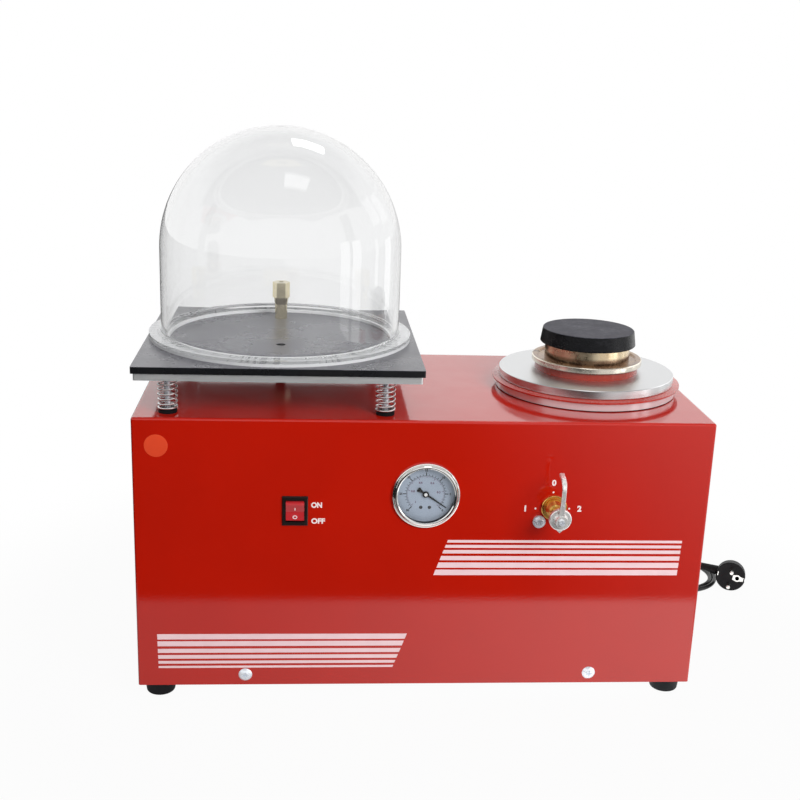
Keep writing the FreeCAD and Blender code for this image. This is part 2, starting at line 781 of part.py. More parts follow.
def bell_jar_dome():
    straight = JAR_H - JAR_R
    base = JAR_RING_T
    inner_r = JAR_R - JAR_WALL
    out_a, out_b, out_c = dome_profile(JAR_R, straight)
    in_a, in_b, in_c = dome_profile(inner_r, straight)
    root = JAR_ROOT_R
    flange_top = base + JAR_FLANGE_T
    s = root * (1 - math.sqrt(0.5))
    edges = [
        Part.LineSegment(V(inner_r, 0, base), V(JAR_FLANGE_R, 0, base)),
        Part.LineSegment(V(JAR_FLANGE_R, 0, base), V(JAR_FLANGE_R, 0, flange_top)),
        Part.LineSegment(V(JAR_FLANGE_R, 0, flange_top), V(JAR_R + root, 0, flange_top)),
        Part.Arc(V(JAR_R + root, 0, flange_top), V(JAR_R + s, 0, flange_top + s),
                 V(JAR_R, 0, flange_top + root)),
        Part.LineSegment(V(JAR_R, 0, flange_top + root), out_a),
        Part.Arc(out_a, out_b, out_c),
        Part.LineSegment(out_c, in_c),
        Part.Arc(in_c, in_b, in_a),
        Part.LineSegment(in_a, V(inner_r, 0, base)),
    ]
    face = Part.Face(Part.Wire([e.toShape() for e in edges]))
    jar = face.revolve(V(0, 0, 0), Z_AXIS, 360)
    jar.translate(V(JAR_X, JAR_Y, JAR_Z))
    return jar


def bell_jar_ring():
    base = V(JAR_X, JAR_Y, JAR_Z)
    return cyl(JAR_FLANGE_R, JAR_RING_T, base).cut(cyl(JAR_RING_INNER_R, JAR_RING_T, base))


# ---------------------------------------------------------------- casting chamber
def at_chamber(z):
    return V(CHAMBER_X, CHAMBER_Y, z)


def chamber_seal():
    seal = cyl(SEAL_R, SEAL_T, at_chamber(TOP_Z)).cut(cyl(CHAMBER_BORE_R, SEAL_T, at_chamber(TOP_Z)))
    return seal.cut([cyl(RING_SCREW_R + SCREW_FIT, SEAL_T, p) for p in ring_screw_places(TOP_Z)])


def chamber_ring():
    ring = cyl(RING_R, RING_T, at_chamber(RING_Z)).cut(cyl(CHAMBER_BORE_R, RING_T, at_chamber(RING_Z)))
    head_h = RING_SCREW_HEAD_R - RING_SCREW_R
    cuts = []
    for place in ring_screw_places(RING_Z):
        cuts.append(cyl(RING_SCREW_R + SCREW_FIT, RING_T, place))
        sink = place + V(0, 0, RING_T - head_h)
        cuts.append(Part.makeCone(RING_SCREW_R + SCREW_FIT, RING_SCREW_HEAD_R + SCREW_FIT, head_h, sink,
                                  Z_AXIS))
    return ring.cut(cuts)


def ring_screws():
    head_h = RING_SCREW_HEAD_R - RING_SCREW_R
    length = RING_T + SEAL_T + SHEET + CHAMBER_FLANGE_T + RING_SCREW_TAIL
    screws = []
    for place in ring_screw_places(GASKET_Z):
        shank = cyl(RING_SCREW_R, length, place - V(0, 0, length))
        head = Part.makeCone(RING_SCREW_R, RING_SCREW_HEAD_R, head_h, place - V(0, 0, head_h), Z_AXIS)
        screws.append(shank.fuse(head).removeSplitter())
    return group(screws)


def chamber_tub():
    """Deep cup hung under the top by its flange, with an elbow for the hose in its floor."""
    outer_r = CHAMBER_BORE_R + CHAMBER_WALL
    profile = [
        (0, TUB_BOTTOM), (outer_r, TUB_BOTTOM), (outer_r, TUB_TOP - CHAMBER_FLANGE_T),
        (SEAL_R, TUB_TOP - CHAMBER_FLANGE_T), (SEAL_R, TUB_TOP), (CHAMBER_BORE_R, TUB_TOP),
        (CHAMBER_BORE_R, TUB_BOTTOM + CHAMBER_FLOOR_T), (0, TUB_BOTTOM + CHAMBER_FLOOR_T),
    ]
    tub = revolved(profile, at_chamber(0))
    tub = tub.cut([cyl(RING_SCREW_R + SCREW_FIT, CHAMBER_FLANGE_T, p)
                   for p in ring_screw_places(TUB_TOP - CHAMBER_FLANGE_T)])
    port = V(CHAMBER_PORT_X, CHAMBER_Y, chamber_port_z())
    elbow = cyl(HOSE_R, TUB_BOTTOM - port.z, port).fuse(Part.makeSphere(HOSE_R, port))
    elbow = elbow.fuse(cyl(HOSE_R, HOSE_R + 4, port, FRONT)).removeSplitter()
    drill = cyl(BARB_CORE_R - 0.9, TUB_BOTTOM + CHAMBER_FLOOR_T - port.z, port)
    drill = drill.fuse(cyl(BARB_CORE_R - 0.9, HOSE_R + 4, port, FRONT))
    tail = barb(port + FRONT * (HOSE_R + 4), FRONT)
    return tub.fuse(elbow).cut(drill).fuse(tail).removeSplitter()


def chamber_port_z():
    return TUB_BOTTOM - 3 * HOSE_R


def chamber_gasket():
    """Silicone ring: its brim slopes down from the plate's edge and is undercut at its foot."""
    profile = [
        (CHAMBER_BORE_R, 0), (GASKET_FOOT_R, 0), (GASKET_R, GASKET_MID),
        (GASKET_R, GASKET_MID + GASKET_RIM_T), (ADAPTER_R, GASKET_T), (CHAMBER_BORE_R, GASKET_T),
    ]
    return revolved(profile, at_chamber(GASKET_Z))


def adapter_plate():
    edge = ADAPTER_EDGE
    profile = [
        (ADAPTER_HOLE_R, 0), (ADAPTER_R - edge, 0), (ADAPTER_R, edge),
        (ADAPTER_R, ADAPTER_T - edge), (ADAPTER_R - edge, ADAPTER_T), (ADAPTER_HOLE_R, ADAPTER_T),
    ]
    return revolved(profile, at_chamber(ADAPTER_Z))


def flask_gasket():
    base = at_chamber(FLASK_GASKET_Z)
    return cyl(FLASK_GASKET_R, FLASK_GASKET_T, base).cut(cyl(ADAPTER_HOLE_R, FLASK_GASKET_T, base))


def flask():
    """Perforated casting flask: a flanged tube, open at both ends."""
    edge = FLANGE_EDGE
    bore = FLASK_R - FLASK_WALL
    profile = [
        (bore, -FLASK_BELOW), (FLASK_R, -FLASK_BELOW), (FLASK_R, 0),
        (FLANGE_R - edge, 0), (FLANGE_R, edge), (FLANGE_R, FLANGE_T - edge), (FLANGE_R - edge, FLANGE_T),
        (FLASK_GROOVE_R, FLANGE_T), (FLASK_GROOVE_R - FLASK_GROOVE_D, FLANGE_T - FLASK_GROOVE_D),
        (FLASK_R, FLANGE_T - FLASK_GROOVE_D), (FLASK_R, FLANGE_T + FLASK_COLLAR),
        (bore, FLANGE_T + FLASK_COLLAR),
    ]
    tube = revolved(profile, at_chamber(FLANGE_Z))
    cutters = []
    for row in range(FLASK_HOLE_ROWS):
        z = FLANGE_Z - FLASK_HOLE_TOP - row * FLASK_HOLE_PITCH
        for column in range(FLASK_HOLE_COLUMNS):
            turn = 360.0 * (column + 0.5 * (row % 2)) / FLASK_HOLE_COLUMNS
            out = V(math.cos(math.radians(turn)), math.sin(math.radians(turn)), 0)
            start = at_chamber(z) + out * (bore - 4)
            cutters.append(cyl(FLASK_HOLE_R, FLASK_WALL + 8, start, out))
    return tube.cut(cutters)


def rubber_cap():
    """Rubber flask base: a slightly tapered plug with a groove for the flask's rim and a sprue cone."""
    groove_out = FLASK_R + CAP_FIT
    groove_in = FLASK_R - FLASK_WALL - CAP_FIT
    profile = [
        (0, CAP_H), (CAP_TOP_R - CAP_EDGE, CAP_H), (CAP_TOP_R, CAP_H - CAP_EDGE),
        (CAP_BASE_R, CAP_EDGE), (CAP_BASE_R - CAP_EDGE, 0),
        (groove_out, 0), (groove_out, CAP_SEAT), (groove_in, CAP_SEAT), (groove_in, 0),
        (SPRUE_ROOT_R, 0), (SPRUE_TIP_R, -SPRUE_H), (0, -SPRUE_H),
    ]
    return revolved(profile, at_chamber(CAP_Z))


# ---------------------------------------------------------------- vacuum gauge
def at_gauge(y):
    return V(GAUGE_X, y, GAUGE_Z)


def lens_back():
    return LENS_T + LENS_FIT + BEZEL_LIP - BEZEL_FRONT


def gauge_case():
    """Can through the panel, open in front; heights run backwards from the lens."""
    front = lens_back()
    depth = GAUGE_CASE_BACK - front
    can = cyl(GAUGE_CASE_R, depth, at_gauge(front), BACK)
    hollow = cyl(GAUGE_CASE_R - GAUGE_CASE_WALL, depth - GAUGE_CASE_WALL, at_gauge(front), BACK)
    shelf = cyl(GAUGE_CASE_R - GAUGE_CASE_WALL, 3.0, at_gauge(DIAL_Y + DIAL_T), BACK)
    shelf = shelf.cut(cyl(GAUGE_CASE_R - 5, 3.0, at_gauge(DIAL_Y + DIAL_T), BACK))
    movement_l = GAUGE_CASE_BACK - GAUGE_CASE_WALL - DIAL_Y - DIAL_T
    movement = cyl(12.0, movement_l, at_gauge(DIAL_Y + DIAL_T), BACK)
    bearing = cyl(NEEDLE_SHAFT_R + RUN_FIT, 8.0, at_gauge(DIAL_Y + DIAL_T), BACK)
    return can.cut(hollow).fuse([shelf, movement]).removeSplitter().cut(bearing)


def gauge_bezel():
    """Rolled stainless ring: a beaded flange on the panel, a groove and a rounded lip."""
    bore = GAUGE_CASE_R + LENS_FIT / 2
    bead = BEZEL_BEAD
    middle = (BEZEL_OPENING_R + BEZEL_GROOVE_R) / 2
    profile = [
        (bore, 0), (BEZEL_R, 0), (BEZEL_R, BEZEL_FLANGE_T - bead),
        (BEZEL_R - bead * 0.3, BEZEL_FLANGE_T - bead * 0.3), (BEZEL_R - bead, BEZEL_FLANGE_T),
        (BEZEL_GROOVE_R + 0.3, BEZEL_FLANGE_T - bead), (BEZEL_GROOVE_R, BEZEL_FLANGE_T - bead),
        (BEZEL_GROOVE_R - 0.3, BEZEL_FRONT - bead), (middle + bead, BEZEL_FRONT - bead * 0.2),
        (middle, BEZEL_FRONT), (middle - bead, BEZEL_FRONT - bead * 0.2),
        (BEZEL_OPENING_R, BEZEL_FRONT - bead), (BEZEL_OPENING_R, BEZEL_FRONT - BEZEL_LIP),
        (bore, BEZEL_FRONT - BEZEL_LIP),
    ]
    return revolved(profile, at_gauge(0), FRONT)


def gauge_lens():
    return cyl(GAUGE_CASE_R, LENS_T, at_gauge(lens_back()), FRONT)


def gauge_dial():
    base = at_gauge(DIAL_Y)
    dial = cyl(GAUGE_CASE_R - GAUGE_CASE_WALL - HOLE_FIT, DIAL_T, base, BACK)
    return dial.cut(cyl(NEEDLE_SHAFT_R + RUN_FIT, DIAL_T, base, BACK))


def gauge_needle():
    """Tapered pointer with a wedge for its tail, a hub and the shaft that carries it."""
    y = DIAL_Y - 0.8
    tip, tail = NEEDLE_TIP_W / 2, NEEDLE_TAIL_W / 2
    side = [
        V(NEEDLE_L, 0, tip), V(0, 0, 1.1), V(-NEEDLE_TAIL * 0.3, 0, 0.7), V(-NEEDLE_TAIL * 0.92, 0, tail),
        V(-NEEDLE_TAIL, 0, tail - 0.6),
    ]
    outline = side + [V(p.x, 0, -p.z) for p in reversed(side)]
    blade = Part.Face(Part.makePolygon(outline + [outline[0]])).extrude(V(0, -NEEDLE_T, 0))
    blade.rotate(V(0, 0, 0), V(0, -1, 0), NEEDLE_REST)
    blade.translate(at_gauge(y))
    hub = cyl(NEEDLE_HUB_R, NEEDLE_HUB_H, at_gauge(y), FRONT)
    shaft = cyl(NEEDLE_SHAFT_R, 6.0, at_gauge(y), BACK)
    return blade.fuse([hub, shaft]).removeSplitter()


def gauge_clamp():
    """U-shaped strap behind the panel that pulls the gauge's flange against it."""
    half = GAUGE_CASE_R + 1.0
    t = GAUGE_CLAMP_T
    w = GAUGE_CLAMP_W / 2.0
    back = GAUGE_CASE_BACK
    z = GAUGE_Z
    strap = box(GAUGE_X - half - t, GAUGE_X + half + t, back, back + t, z - w, z + w)
    legs = [
        box(GAUGE_X - half - t, GAUGE_X - half, SHEET, back, z - w, z + w),
        box(GAUGE_X + half, GAUGE_X + half + t, SHEET, back, z - w, z + w),
    ]
    clamp = strap.fuse(legs).removeSplitter()
    return clamp.cut(cyl(HOSE_R + HOLE_FIT, t + 2, at_gauge(back - 1), BACK))


def gauge_port():
    return V(GAUGE_X, GAUGE_CASE_BACK + 12.0, GAUGE_Z)


def gauge_fitting():
    """Brass elbow screwed into the back of the gauge."""
    port = gauge_port()
    stem = cyl(HOSE_R, 12.0, at_gauge(GAUGE_CASE_BACK), BACK)
    nut = hexagon(14.0, 4.0, at_gauge(GAUGE_CASE_BACK + GAUGE_CLAMP_T), BACK)
    elbow = stem.fuse([nut, Part.makeSphere(HOSE_R, port), cyl(HOSE_R, HOSE_R + 6, port, RIGHT)])
    return elbow.fuse(barb(port + RIGHT * (HOSE_R + 6), RIGHT)).removeSplitter()


# ---------------------------------------------------------------- three-way valve
def at_valve(y):
    return V(VALVE_X, y, VALVE_Z)


def valve_body():
    """Brass block behind the panel: bored for the plug, with a tail for each hose."""
    x0 = VALVE_X - VALVE_BLOCK_W / 2
    x1 = VALVE_X + VALVE_BLOCK_W / 2
    z0 = VALVE_Z - VALVE_BLOCK_H / 2
    y0 = VALVE_BLOCK_Y
    y1 = y0 + VALVE_BLOCK_D
    block = box(x0, x1, y0, y1, z0, VALVE_Z + VALVE_BLOCK_H / 2)
    block = block.makeChamfer(2.0, [e for e in block.Edges if abs(e.tangentAt(e.FirstParameter).y) > 0.9])
    neck = cyl(VALVE_NECK_R, VALVE_BLOCK_Y + 0.5, at_valve(-0.5), BACK)
    body = block.fuse(neck).removeSplitter()
    cuts = [
        cyl(PLUG_R, y1 - 4 - y0, at_valve(y0), BACK),
        cyl(STEM_R + RUN_FIT, VALVE_BLOCK_Y + 2, at_valve(-1), BACK),
    ]
    drill = BARB_CORE_R - 0.9
    middle = valve_port_y()
    for start, axis in ((V(x0, middle, table_port_z()), RIGHT), (V(x1, middle, VALVE_Z), LEFT),
                        (V(VALVE_X, middle, z0), Z_AXIS)):
        cuts.append(cyl(drill, VALVE_BLOCK_W / 2, start, axis))
    cuts.append(cyl(drill, VALVE_BLOCK_W / 2, V(x0, middle, GAUGE_Z), RIGHT))
    body = body.cut(cuts)
    tails = [
        barb(V(x0, middle, table_port_z()), LEFT),
        barb(V(x0, middle, GAUGE_Z), LEFT),
        barb(V(x1, middle, VALVE_Z), RIGHT),
        barb(V(VALVE_X, middle, z0), DOWN),
    ]
    return body.fuse(tails).removeSplitter()


def valve_port_y():
    return VALVE_BLOCK_Y + VALVE_BLOCK_D * 0.6


def table_port_z():
    return VALVE_Z - 11.0


def valve_flange():
    """Stepped brass nut in front of the panel, domed towards the stem."""
    profile = [
        (STEM_R + RUN_FIT, 0), (VALVE_FLANGE_R, 0),
        (VALVE_FLANGE_R, VALVE_FLANGE_T - 0.6), (VALVE_FLANGE_R - 0.6, VALVE_FLANGE_T),
        (VALVE_FLANGE_R - 1.8, VALVE_FLANGE_T), (VALVE_FLANGE_R - 2.0, VALVE_FLANGE_T + 1.4),
        (VALVE_FLANGE_R - 3.6, VALVE_FLANGE_T + 1.4), (VALVE_FLANGE_R - 3.8, VALVE_FLANGE_T + 2.8),
        (STEM_R + 3.0, VALVE_DOME_H - 2.0), (STEM_R + 1.6, VALVE_DOME_H), (STEM_R + RUN_FIT, VALVE_DOME_H),
    ]
    nut = revolved(profile, at_valve(0), FRONT)
    return nut.cut(cyl(VALVE_NECK_R + HOLE_FIT, 0.5 + HOLE_FIT, at_valve(-0.5 - HOLE_FIT), BACK))


def valve_bracket():
    """Sheet plate between the panel and the block, held by the panel screw."""
    x0 = PANEL_SCREW_X - 8
    x1 = VALVE_X + VALVE_BLOCK_W / 2
    z0 = PANEL_SCREW_Z - 8
    plate = box(x0, x1, SHEET, SHEET + BRACKET_T, z0, VALVE_Z + VALVE_BLOCK_H / 2)
    plate = plate.cut(cyl(VALVE_NECK_R + HOLE_FIT, BRACKET_T, at_valve(SHEET), BACK))
    hole = cyl(PANEL_SCREW_R + HOLE_FIT, BRACKET_T, V(PANEL_SCREW_X, SHEET, PANEL_SCREW_Z), BACK)
    return plate.cut(hole)


def panel_screw():
    place = V(PANEL_SCREW_X, 0, PANEL_SCREW_Z)
    head = cyl(PANEL_SCREW_HEAD_R, PANEL_SCREW_HEAD_H, place, FRONT)
    cap = cyl(PANEL_SCREW_CAP_R, PANEL_SCREW_CAP_H, place + FRONT * PANEL_SCREW_HEAD_H, FRONT)
    cap = cap.makeFillet(0.8, [e for e in cap.Edges if len(e.Vertexes) == 1 and e.CenterOfMass.y
                               < -PANEL_SCREW_HEAD_H - PANEL_SCREW_CAP_H + 0.01])
    slots = []
    for along in (RIGHT, Z_AXIS):
        front = place + FRONT * (PANEL_SCREW_HEAD_H + PANEL_SCREW_CAP_H)
        half = along * 2.4 + (Z_AXIS if along == RIGHT else RIGHT) * 0.55
        low = front - half
        high = front + half
        slots.append(box(low.x, high.x, front.y, front.y + 1.4, low.z, high.z))
    shank = cyl(PANEL_SCREW_R, SHEET + BRACKET_T + 0.4, place, BACK)
    return head.fuse([cap, shank]).removeSplitter().cut(slots)


def valve_plug():
    """Turning plug with its stem: a cross hole leads to the port that the lever points at."""
    y0 = VALVE_BLOCK_Y
    plug = cyl(PLUG_R - RUN_FIT, VALVE_BLOCK_D - 4 - 0.4, at_valve(y0 + 0.2), BACK)
    stem = cyl(STEM_R, LEVER_HUB_Y + y0 + 1, at_valve(-LEVER_HUB_Y), BACK)
    plug = plug.fuse(stem).removeSplitter()
    gallery = cyl(PORT_R, PLUG_R + 2, at_valve(valve_port_y()), Z_AXIS)
    back = cyl(PORT_R, VALVE_BLOCK_D, at_valve(valve_port_y()), BACK)
    return plug.cut(gallery.fuse(back))


def lever_arm():
    """Band as wide as the arm's root or wider: it leans out from the boss and its tip curls back."""
    x = VALVE_X - LEVER_ROOT_W
    half = LEVER_ARM_T / 2
    centre = [
        V(x, -LEVER_ROOT_Y, VALVE_Z), V(x, -LEVER_BEND_Y, VALVE_Z + LEVER_BEND_Z),
        V(x, -LEVER_TIP_Y, VALVE_Z + LEVER_ARM_L - half),
    ]
    path = route(centre, "lever arm")
    lean = (centre[1] - centre[0]).normalize()
    out = V(0, lean.z, -lean.y) * half
    wide = V(2 * LEVER_ROOT_W, 0, 0)
    start = centre[0]
    corners = [start - out, start + out, start + out + wide, start - out + wide]
    section = Part.makePolygon(corners + [corners[0]])
    return path.makePipeShell([section], True, False)


def lever_front():
    """Front outline of the arm: waisted, with a flared tip."""
    root, waist, tip = LEVER_ROOT_W / 2, LEVER_WAIST_W / 2, LEVER_TIP_W / 2
    z = VALVE_Z
    high = z + LEVER_ARM_L + 1
    y = -LEVER_REACH - 2
    right = [V(VALVE_X + root, y, z), V(VALVE_X + waist, y, z + LEVER_ARM_L * 0.45),
             V(VALVE_X + waist, y, z + LEVER_ARM_L * 0.8), V(VALVE_X + tip, y, high)]
    left = [V(2 * VALVE_X - p.x, y, p.z) for p in reversed(right)]
    points = right + left
    return Part.Face(Part.makePolygon(points + [points[0]])).extrude(V(0, LEVER_REACH, 0))


def valve_lever():
    """Cast lever: a drop-shaped disc, a boss for its screw and a bowed arm."""
    disc_base = -LEVER_HUB_Y
    disc = cyl(LEVER_DISC_R, LEVER_DISC_T, at_valve(disc_base), FRONT)
    disc = disc.makeFillet(1.2, [e for e in disc.Edges if len(e.Vertexes) == 1 and e.CenterOfMass.y
                                 < disc_base - LEVER_DISC_T + 0.01])
    point = [V(VALVE_X - 4.5, disc_base, VALVE_Z - LEVER_DISC_R * 0.88),
             V(VALVE_X, disc_base, VALVE_Z - LEVER_POINT),
             V(VALVE_X + 4.5, disc_base, VALVE_Z - LEVER_DISC_R * 0.88)]
    drop = Part.Face(Part.makePolygon(point + [point[0]])).extrude(FRONT * (LEVER_DISC_T - 1.2))
    boss_y = disc_base - LEVER_DISC_T
    boss = Part.makeCone(LEVER_BOSS_R + 0.6, LEVER_BOSS_R - 0.6, LEVER_BOSS_T, at_valve(boss_y), FRONT)
    arm = lever_arm().common(lever_front())
    arm = arm.makeChamfer(0.7, [e for e in arm.Edges if e.Length > LEVER_ARM_L * 0.2])
    web_top = VALVE_Z + LEVER_DISC_R * 1.1
    web_w = LEVER_WAIST_W / 2
    web = box(VALVE_X - web_w, VALVE_X + web_w, -LEVER_ROOT_Y - 0.3, boss_y + 0.5, VALVE_Z, web_top)
    lever = disc.fuse([drop, boss, arm, web]).removeSplitter()
    socket = cyl(STEM_R, LEVER_DISC_T, at_valve(disc_base), FRONT)
    front = cyl(LEVER_BOSS_R, LEVER_REACH, at_valve(boss_y - LEVER_BOSS_T), FRONT)
    return lever.cut([socket, front])


def lever_screw():
    base = -LEVER_HUB_Y - LEVER_DISC_T - LEVER_BOSS_T
    head = cyl(LEVER_SCREW_R, LEVER_SCREW_H, at_valve(base), FRONT)
    slots = [box(VALVE_X - 1.8, VALVE_X + 1.8, base - LEVER_SCREW_H, base - LEVER_SCREW_H + 1.2,
                 VALVE_Z - 0.4, VALVE_Z + 0.4),
             box(VALVE_X - 0.4, VALVE_X + 0.4, base - LEVER_SCREW_H, base - LEVER_SCREW_H + 1.2,
                 VALVE_Z - 1.8, VALVE_Z + 1.8)]
    return head.cut(slots)


# ---------------------------------------------------------------- rocker switch
def switch_housing():
    half_w, half_h = SWITCH_W / 2, SWITCH_H / 2
    lip = box(SWITCH_X - half_w, SWITCH_X + half_w, -SWITCH_LIP, 0, SWITCH_Z - half_h, SWITCH_Z + half_h)
    front = [e for e in lip.Edges if abs(e.CenterOfMass.y + SWITCH_LIP) < 0.01]
    lip = lip.makeChamfer(0.9, front)
    body_w, body_h = half_w - SWITCH_BODY_GAP, half_h - SWITCH_BODY_GAP
    body = box(SWITCH_X - body_w, SWITCH_X + body_w, -0.5, SWITCH_BODY_D,
               SWITCH_Z - body_h, SWITCH_Z + body_h)
    housing = lip.fuse(body).removeSplitter()
    win_w = ROCKER_W / 2 + ROCKER_GAP
    win_h = ROCKER_R + ROCKER_GAP
    well = box(SWITCH_X - win_w, SWITCH_X + win_w, -SWITCH_LIP - 1, ROCKER_PIVOT_Y + ROCKER_R,
               SWITCH_Z - win_h, SWITCH_Z + win_h)
    pin_l = ROCKER_W / 2 + ROCKER_PIN_L + 0.1
    sockets = cyl(ROCKER_PIN_R + RUN_FIT, 2 * pin_l, V(SWITCH_X - pin_l, ROCKER_PIVOT_Y, SWITCH_Z), RIGHT)
    housing = housing.cut([well, sockets])
    blades = []
    for i in (-1, 0, 1):
        z = SWITCH_Z + i * TERMINAL_PITCH
        blades.append(box(SWITCH_X - TERMINAL_W / 2, SWITCH_X + TERMINAL_W / 2, SWITCH_BODY_D,
                          SWITCH_BODY_D + TERMINAL_L, z - TERMINAL_T / 2, z + TERMINAL_T / 2))
    return housing.fuse(blades).removeSplitter()


def rocker():
    """Two-faced rocker on two pins; drawn level, then tilted so that its lower end is pressed."""
    def rim(y, side):
        return V(0, y, side * math.sqrt(ROCKER_R ** 2 - (y - ROCKER_PIVOT_Y) ** 2))
    ear_top, ear_low = rim(ROCKER_EAR_Y, 1), rim(ROCKER_EAR_Y, -1)
    back_top, back_low = rim(ROCKER_BACK_Y, 1), rim(ROCKER_BACK_Y, -1)
    valley = V(0, ROCKER_VALLEY_Y, 0)
    edges = [
        Part.LineSegment(valley, ear_top),
        Part.Arc(ear_top, V(0, ROCKER_PIVOT_Y, ROCKER_R), back_top),
        Part.LineSegment(back_top, back_low),
        Part.Arc(back_low, V(0, ROCKER_PIVOT_Y, -ROCKER_R), ear_low),
        Part.LineSegment(ear_low, valley),
    ]
    face = Part.Face(Part.Wire([e.toShape() for e in edges]))
    body = face.extrude(V(ROCKER_W, 0, 0))
    body.translate(V(-ROCKER_W / 2, 0, 0))
    pin_l = ROCKER_W / 2 + ROCKER_PIN_L
    pins = cyl(ROCKER_PIN_R, 2 * pin_l, V(-pin_l, ROCKER_PIVOT_Y, 0), RIGHT)
    body = body.fuse(pins).removeSplitter()
    body.rotate(V(0, ROCKER_PIVOT_Y, 0), RIGHT, ROCKER_TILT)
    body.translate(V(SWITCH_X, 0, SWITCH_Z))
    return body


# ---------------------------------------------------------------- pump and motor
def on_shaft(x):
    return V(x, SHAFT_Y, SHAFT_Z)


def grommet_places():
    for x in (PUMP_LEFT + CRADLE_MARGIN, MOTOR_RIGHT - CRADLE_MARGIN):
        for y in (SHAFT_Y - PUMP_HALF_D - CRADLE_MARGIN, SHAFT_Y + PUMP_HALF_D + CRADLE_MARGIN):
            yield V(x, y, PAN_TOP)


def pump_bore_axis(x):
    """The bore sits lower than the shaft, so that the rotor nearly touches its top."""
    return on_shaft(x) - V(0, 0, PUMP_BORE_R - PUMP_ROTOR_R - PUMP_ROTOR_GAP)


def top_edges_along_shaft(solid):
    return [e for e in solid.Edges
            if abs(e.tangentAt(e.FirstParameter).x) > 0.9 and e.CenterOfMass.z > SHAFT_Z]


def pump_block():
    bottom = CRADLE_Z + CRADLE_T
    block = box(PUMP_LEFT, MOTOR_LEFT, SHAFT_Y - PUMP_HALF_D, SHAFT_Y + PUMP_HALF_D,
                bottom, SHAFT_Z + PUMP_TOP)
    along = top_edges_along_shaft(block)
    block = block.makeFillet(PUMP_CORNER_R, along)
    cuts = [cyl(PUMP_BORE_R, PUMP_BORE_L, pump_bore_axis(PUMP_LEFT), RIGHT),
            cyl(SHAFT_R + RUN_FIT, PUMP_L, on_shaft(PUMP_LEFT), RIGHT),
            cyl(BARB_CORE_R - 0.9, PUMP_HALF_D, V(pump_port().x, SHAFT_Y - PUMP_HALF_D, pump_port().z), BACK)]
    for place in pump_cover_screw_places():
        cuts.append(cyl(PUMP_COVER_SCREW_R + HOLE_FIT, PUMP_COVER_SCREW_L + 1, place, RIGHT))
    return block.cut(cuts).fuse(barb(pump_port(), FRONT)).removeSplitter()


def pump_port():
    return V(PUMP_LEFT + PUMP_L / 2, SHAFT_Y - PUMP_HALF_D, SHAFT_Z + PUMP_TOP - PUMP_PORT_DROP)


def pump_cover_screw_places():
    for sy in (-1, 1):
        for sz in (-1, 1):
            yield V(PUMP_LEFT, SHAFT_Y + sy * (PUMP_HALF_D - 8), SHAFT_Z + sz * (PUMP_TOP - 14))


def pump_cover():
    """End plate of the pump; its four cap screws are part of it."""
    x0 = PUMP_LEFT - PUMP_COVER_T
    inset = PUMP_COVER_INSET
    plate = box(x0, PUMP_LEFT, SHAFT_Y - PUMP_HALF_D + inset, SHAFT_Y + PUMP_HALF_D - inset,
                CRADLE_Z + CRADLE_T + inset, SHAFT_Z + PUMP_TOP - inset)
    along = top_edges_along_shaft(plate)
    plate = plate.makeFillet(PUMP_CORNER_R - inset, along)
    extras = []
    for place in pump_cover_screw_places():
        extras.append(cyl(PUMP_COVER_HEAD_R, PUMP_COVER_HEAD_H, place - V(PUMP_COVER_T, 0, 0), LEFT))
        extras.append(cyl(PUMP_COVER_SCREW_R, PUMP_COVER_SCREW_L, place, RIGHT))
    return plate.fuse(extras).removeSplitter()


def pump_rotor():
    """Slotted drum on the shaft."""
    length = PUMP_BORE_L - 1.0
    start = on_shaft(PUMP_LEFT + 0.5)
    drum = cyl(PUMP_ROTOR_R, length, start, RIGHT).cut(cyl(SHAFT_R, length, start, RIGHT))
    slots = []
    for place in vane_boxes(HOLE_FIT, PUMP_BORE_L):
        slots.append(place)
    return drum.cut(slots)


def vane_boxes(gap, length):
    outer = PUMP_ROTOR_R - 0.4 + (2.0 if gap > 0 else 0.0)
    inner = PUMP_ROTOR_R - 0.4 - PUMP_VANE_L - gap
    half = PUMP_VANE_T / 2 + gap
    x0 = PUMP_LEFT + (0.5 if gap > 0 else 1.0)
    y = SHAFT_Y
    return [
        box(x0, x0 + length, y - outer, y - inner, SHAFT_Z - half, SHAFT_Z + half),
        box(x0, x0 + length, y + inner, y + outer, SHAFT_Z - half, SHAFT_Z + half),
    ]


def pump_vanes():
    return group(vane_boxes(0.0, PUMP_BORE_L - 2.0))


def motor_case():
    """Motor shell with the stator and both end bells, bored for the core and the shaft."""
    case = cyl(MOTOR_R, MOTOR_L, on_shaft(MOTOR_LEFT), RIGHT)
    rims = [e for e in case.Edges if len(e.Vertexes) == 1]
    case = case.makeFillet(4.0, rims)
    core_l = MOTOR_L - 2 * MOTOR_END_T
    cuts = [cyl(MOTOR_BORE_R, core_l, on_shaft(MOTOR_LEFT + MOTOR_END_T), RIGHT),
            cyl(SHAFT_R + RUN_FIT, MOTOR_L, on_shaft(MOTOR_LEFT), RIGHT)]
    for x in (MOTOR_LEFT + MOTOR_END_T - 4, MOTOR_RIGHT - MOTOR_END_T + 2):
        band = cyl(MOTOR_R + 1, 2.0, on_shaft(x), RIGHT).cut(cyl(MOTOR_R - 1.2, 2.0, on_shaft(x), RIGHT))
        cuts.append(band)
    return case.cut(cuts)


def motor_shaft():
    """Shaft with the rotor core on it."""
    x0 = PUMP_LEFT + 0.5
    shaft = cyl(SHAFT_R, MOTOR_RIGHT + FAN_GAP + FAN_W + 1 - x0, on_shaft(x0), RIGHT)
    core_l = MOTOR_L - 2 * MOTOR_END_T - 6
    return shaft.fuse(cyl(CORE_R, core_l, on_shaft(MOTOR_LEFT + MOTOR_END_T + 3), RIGHT)).removeSplitter()


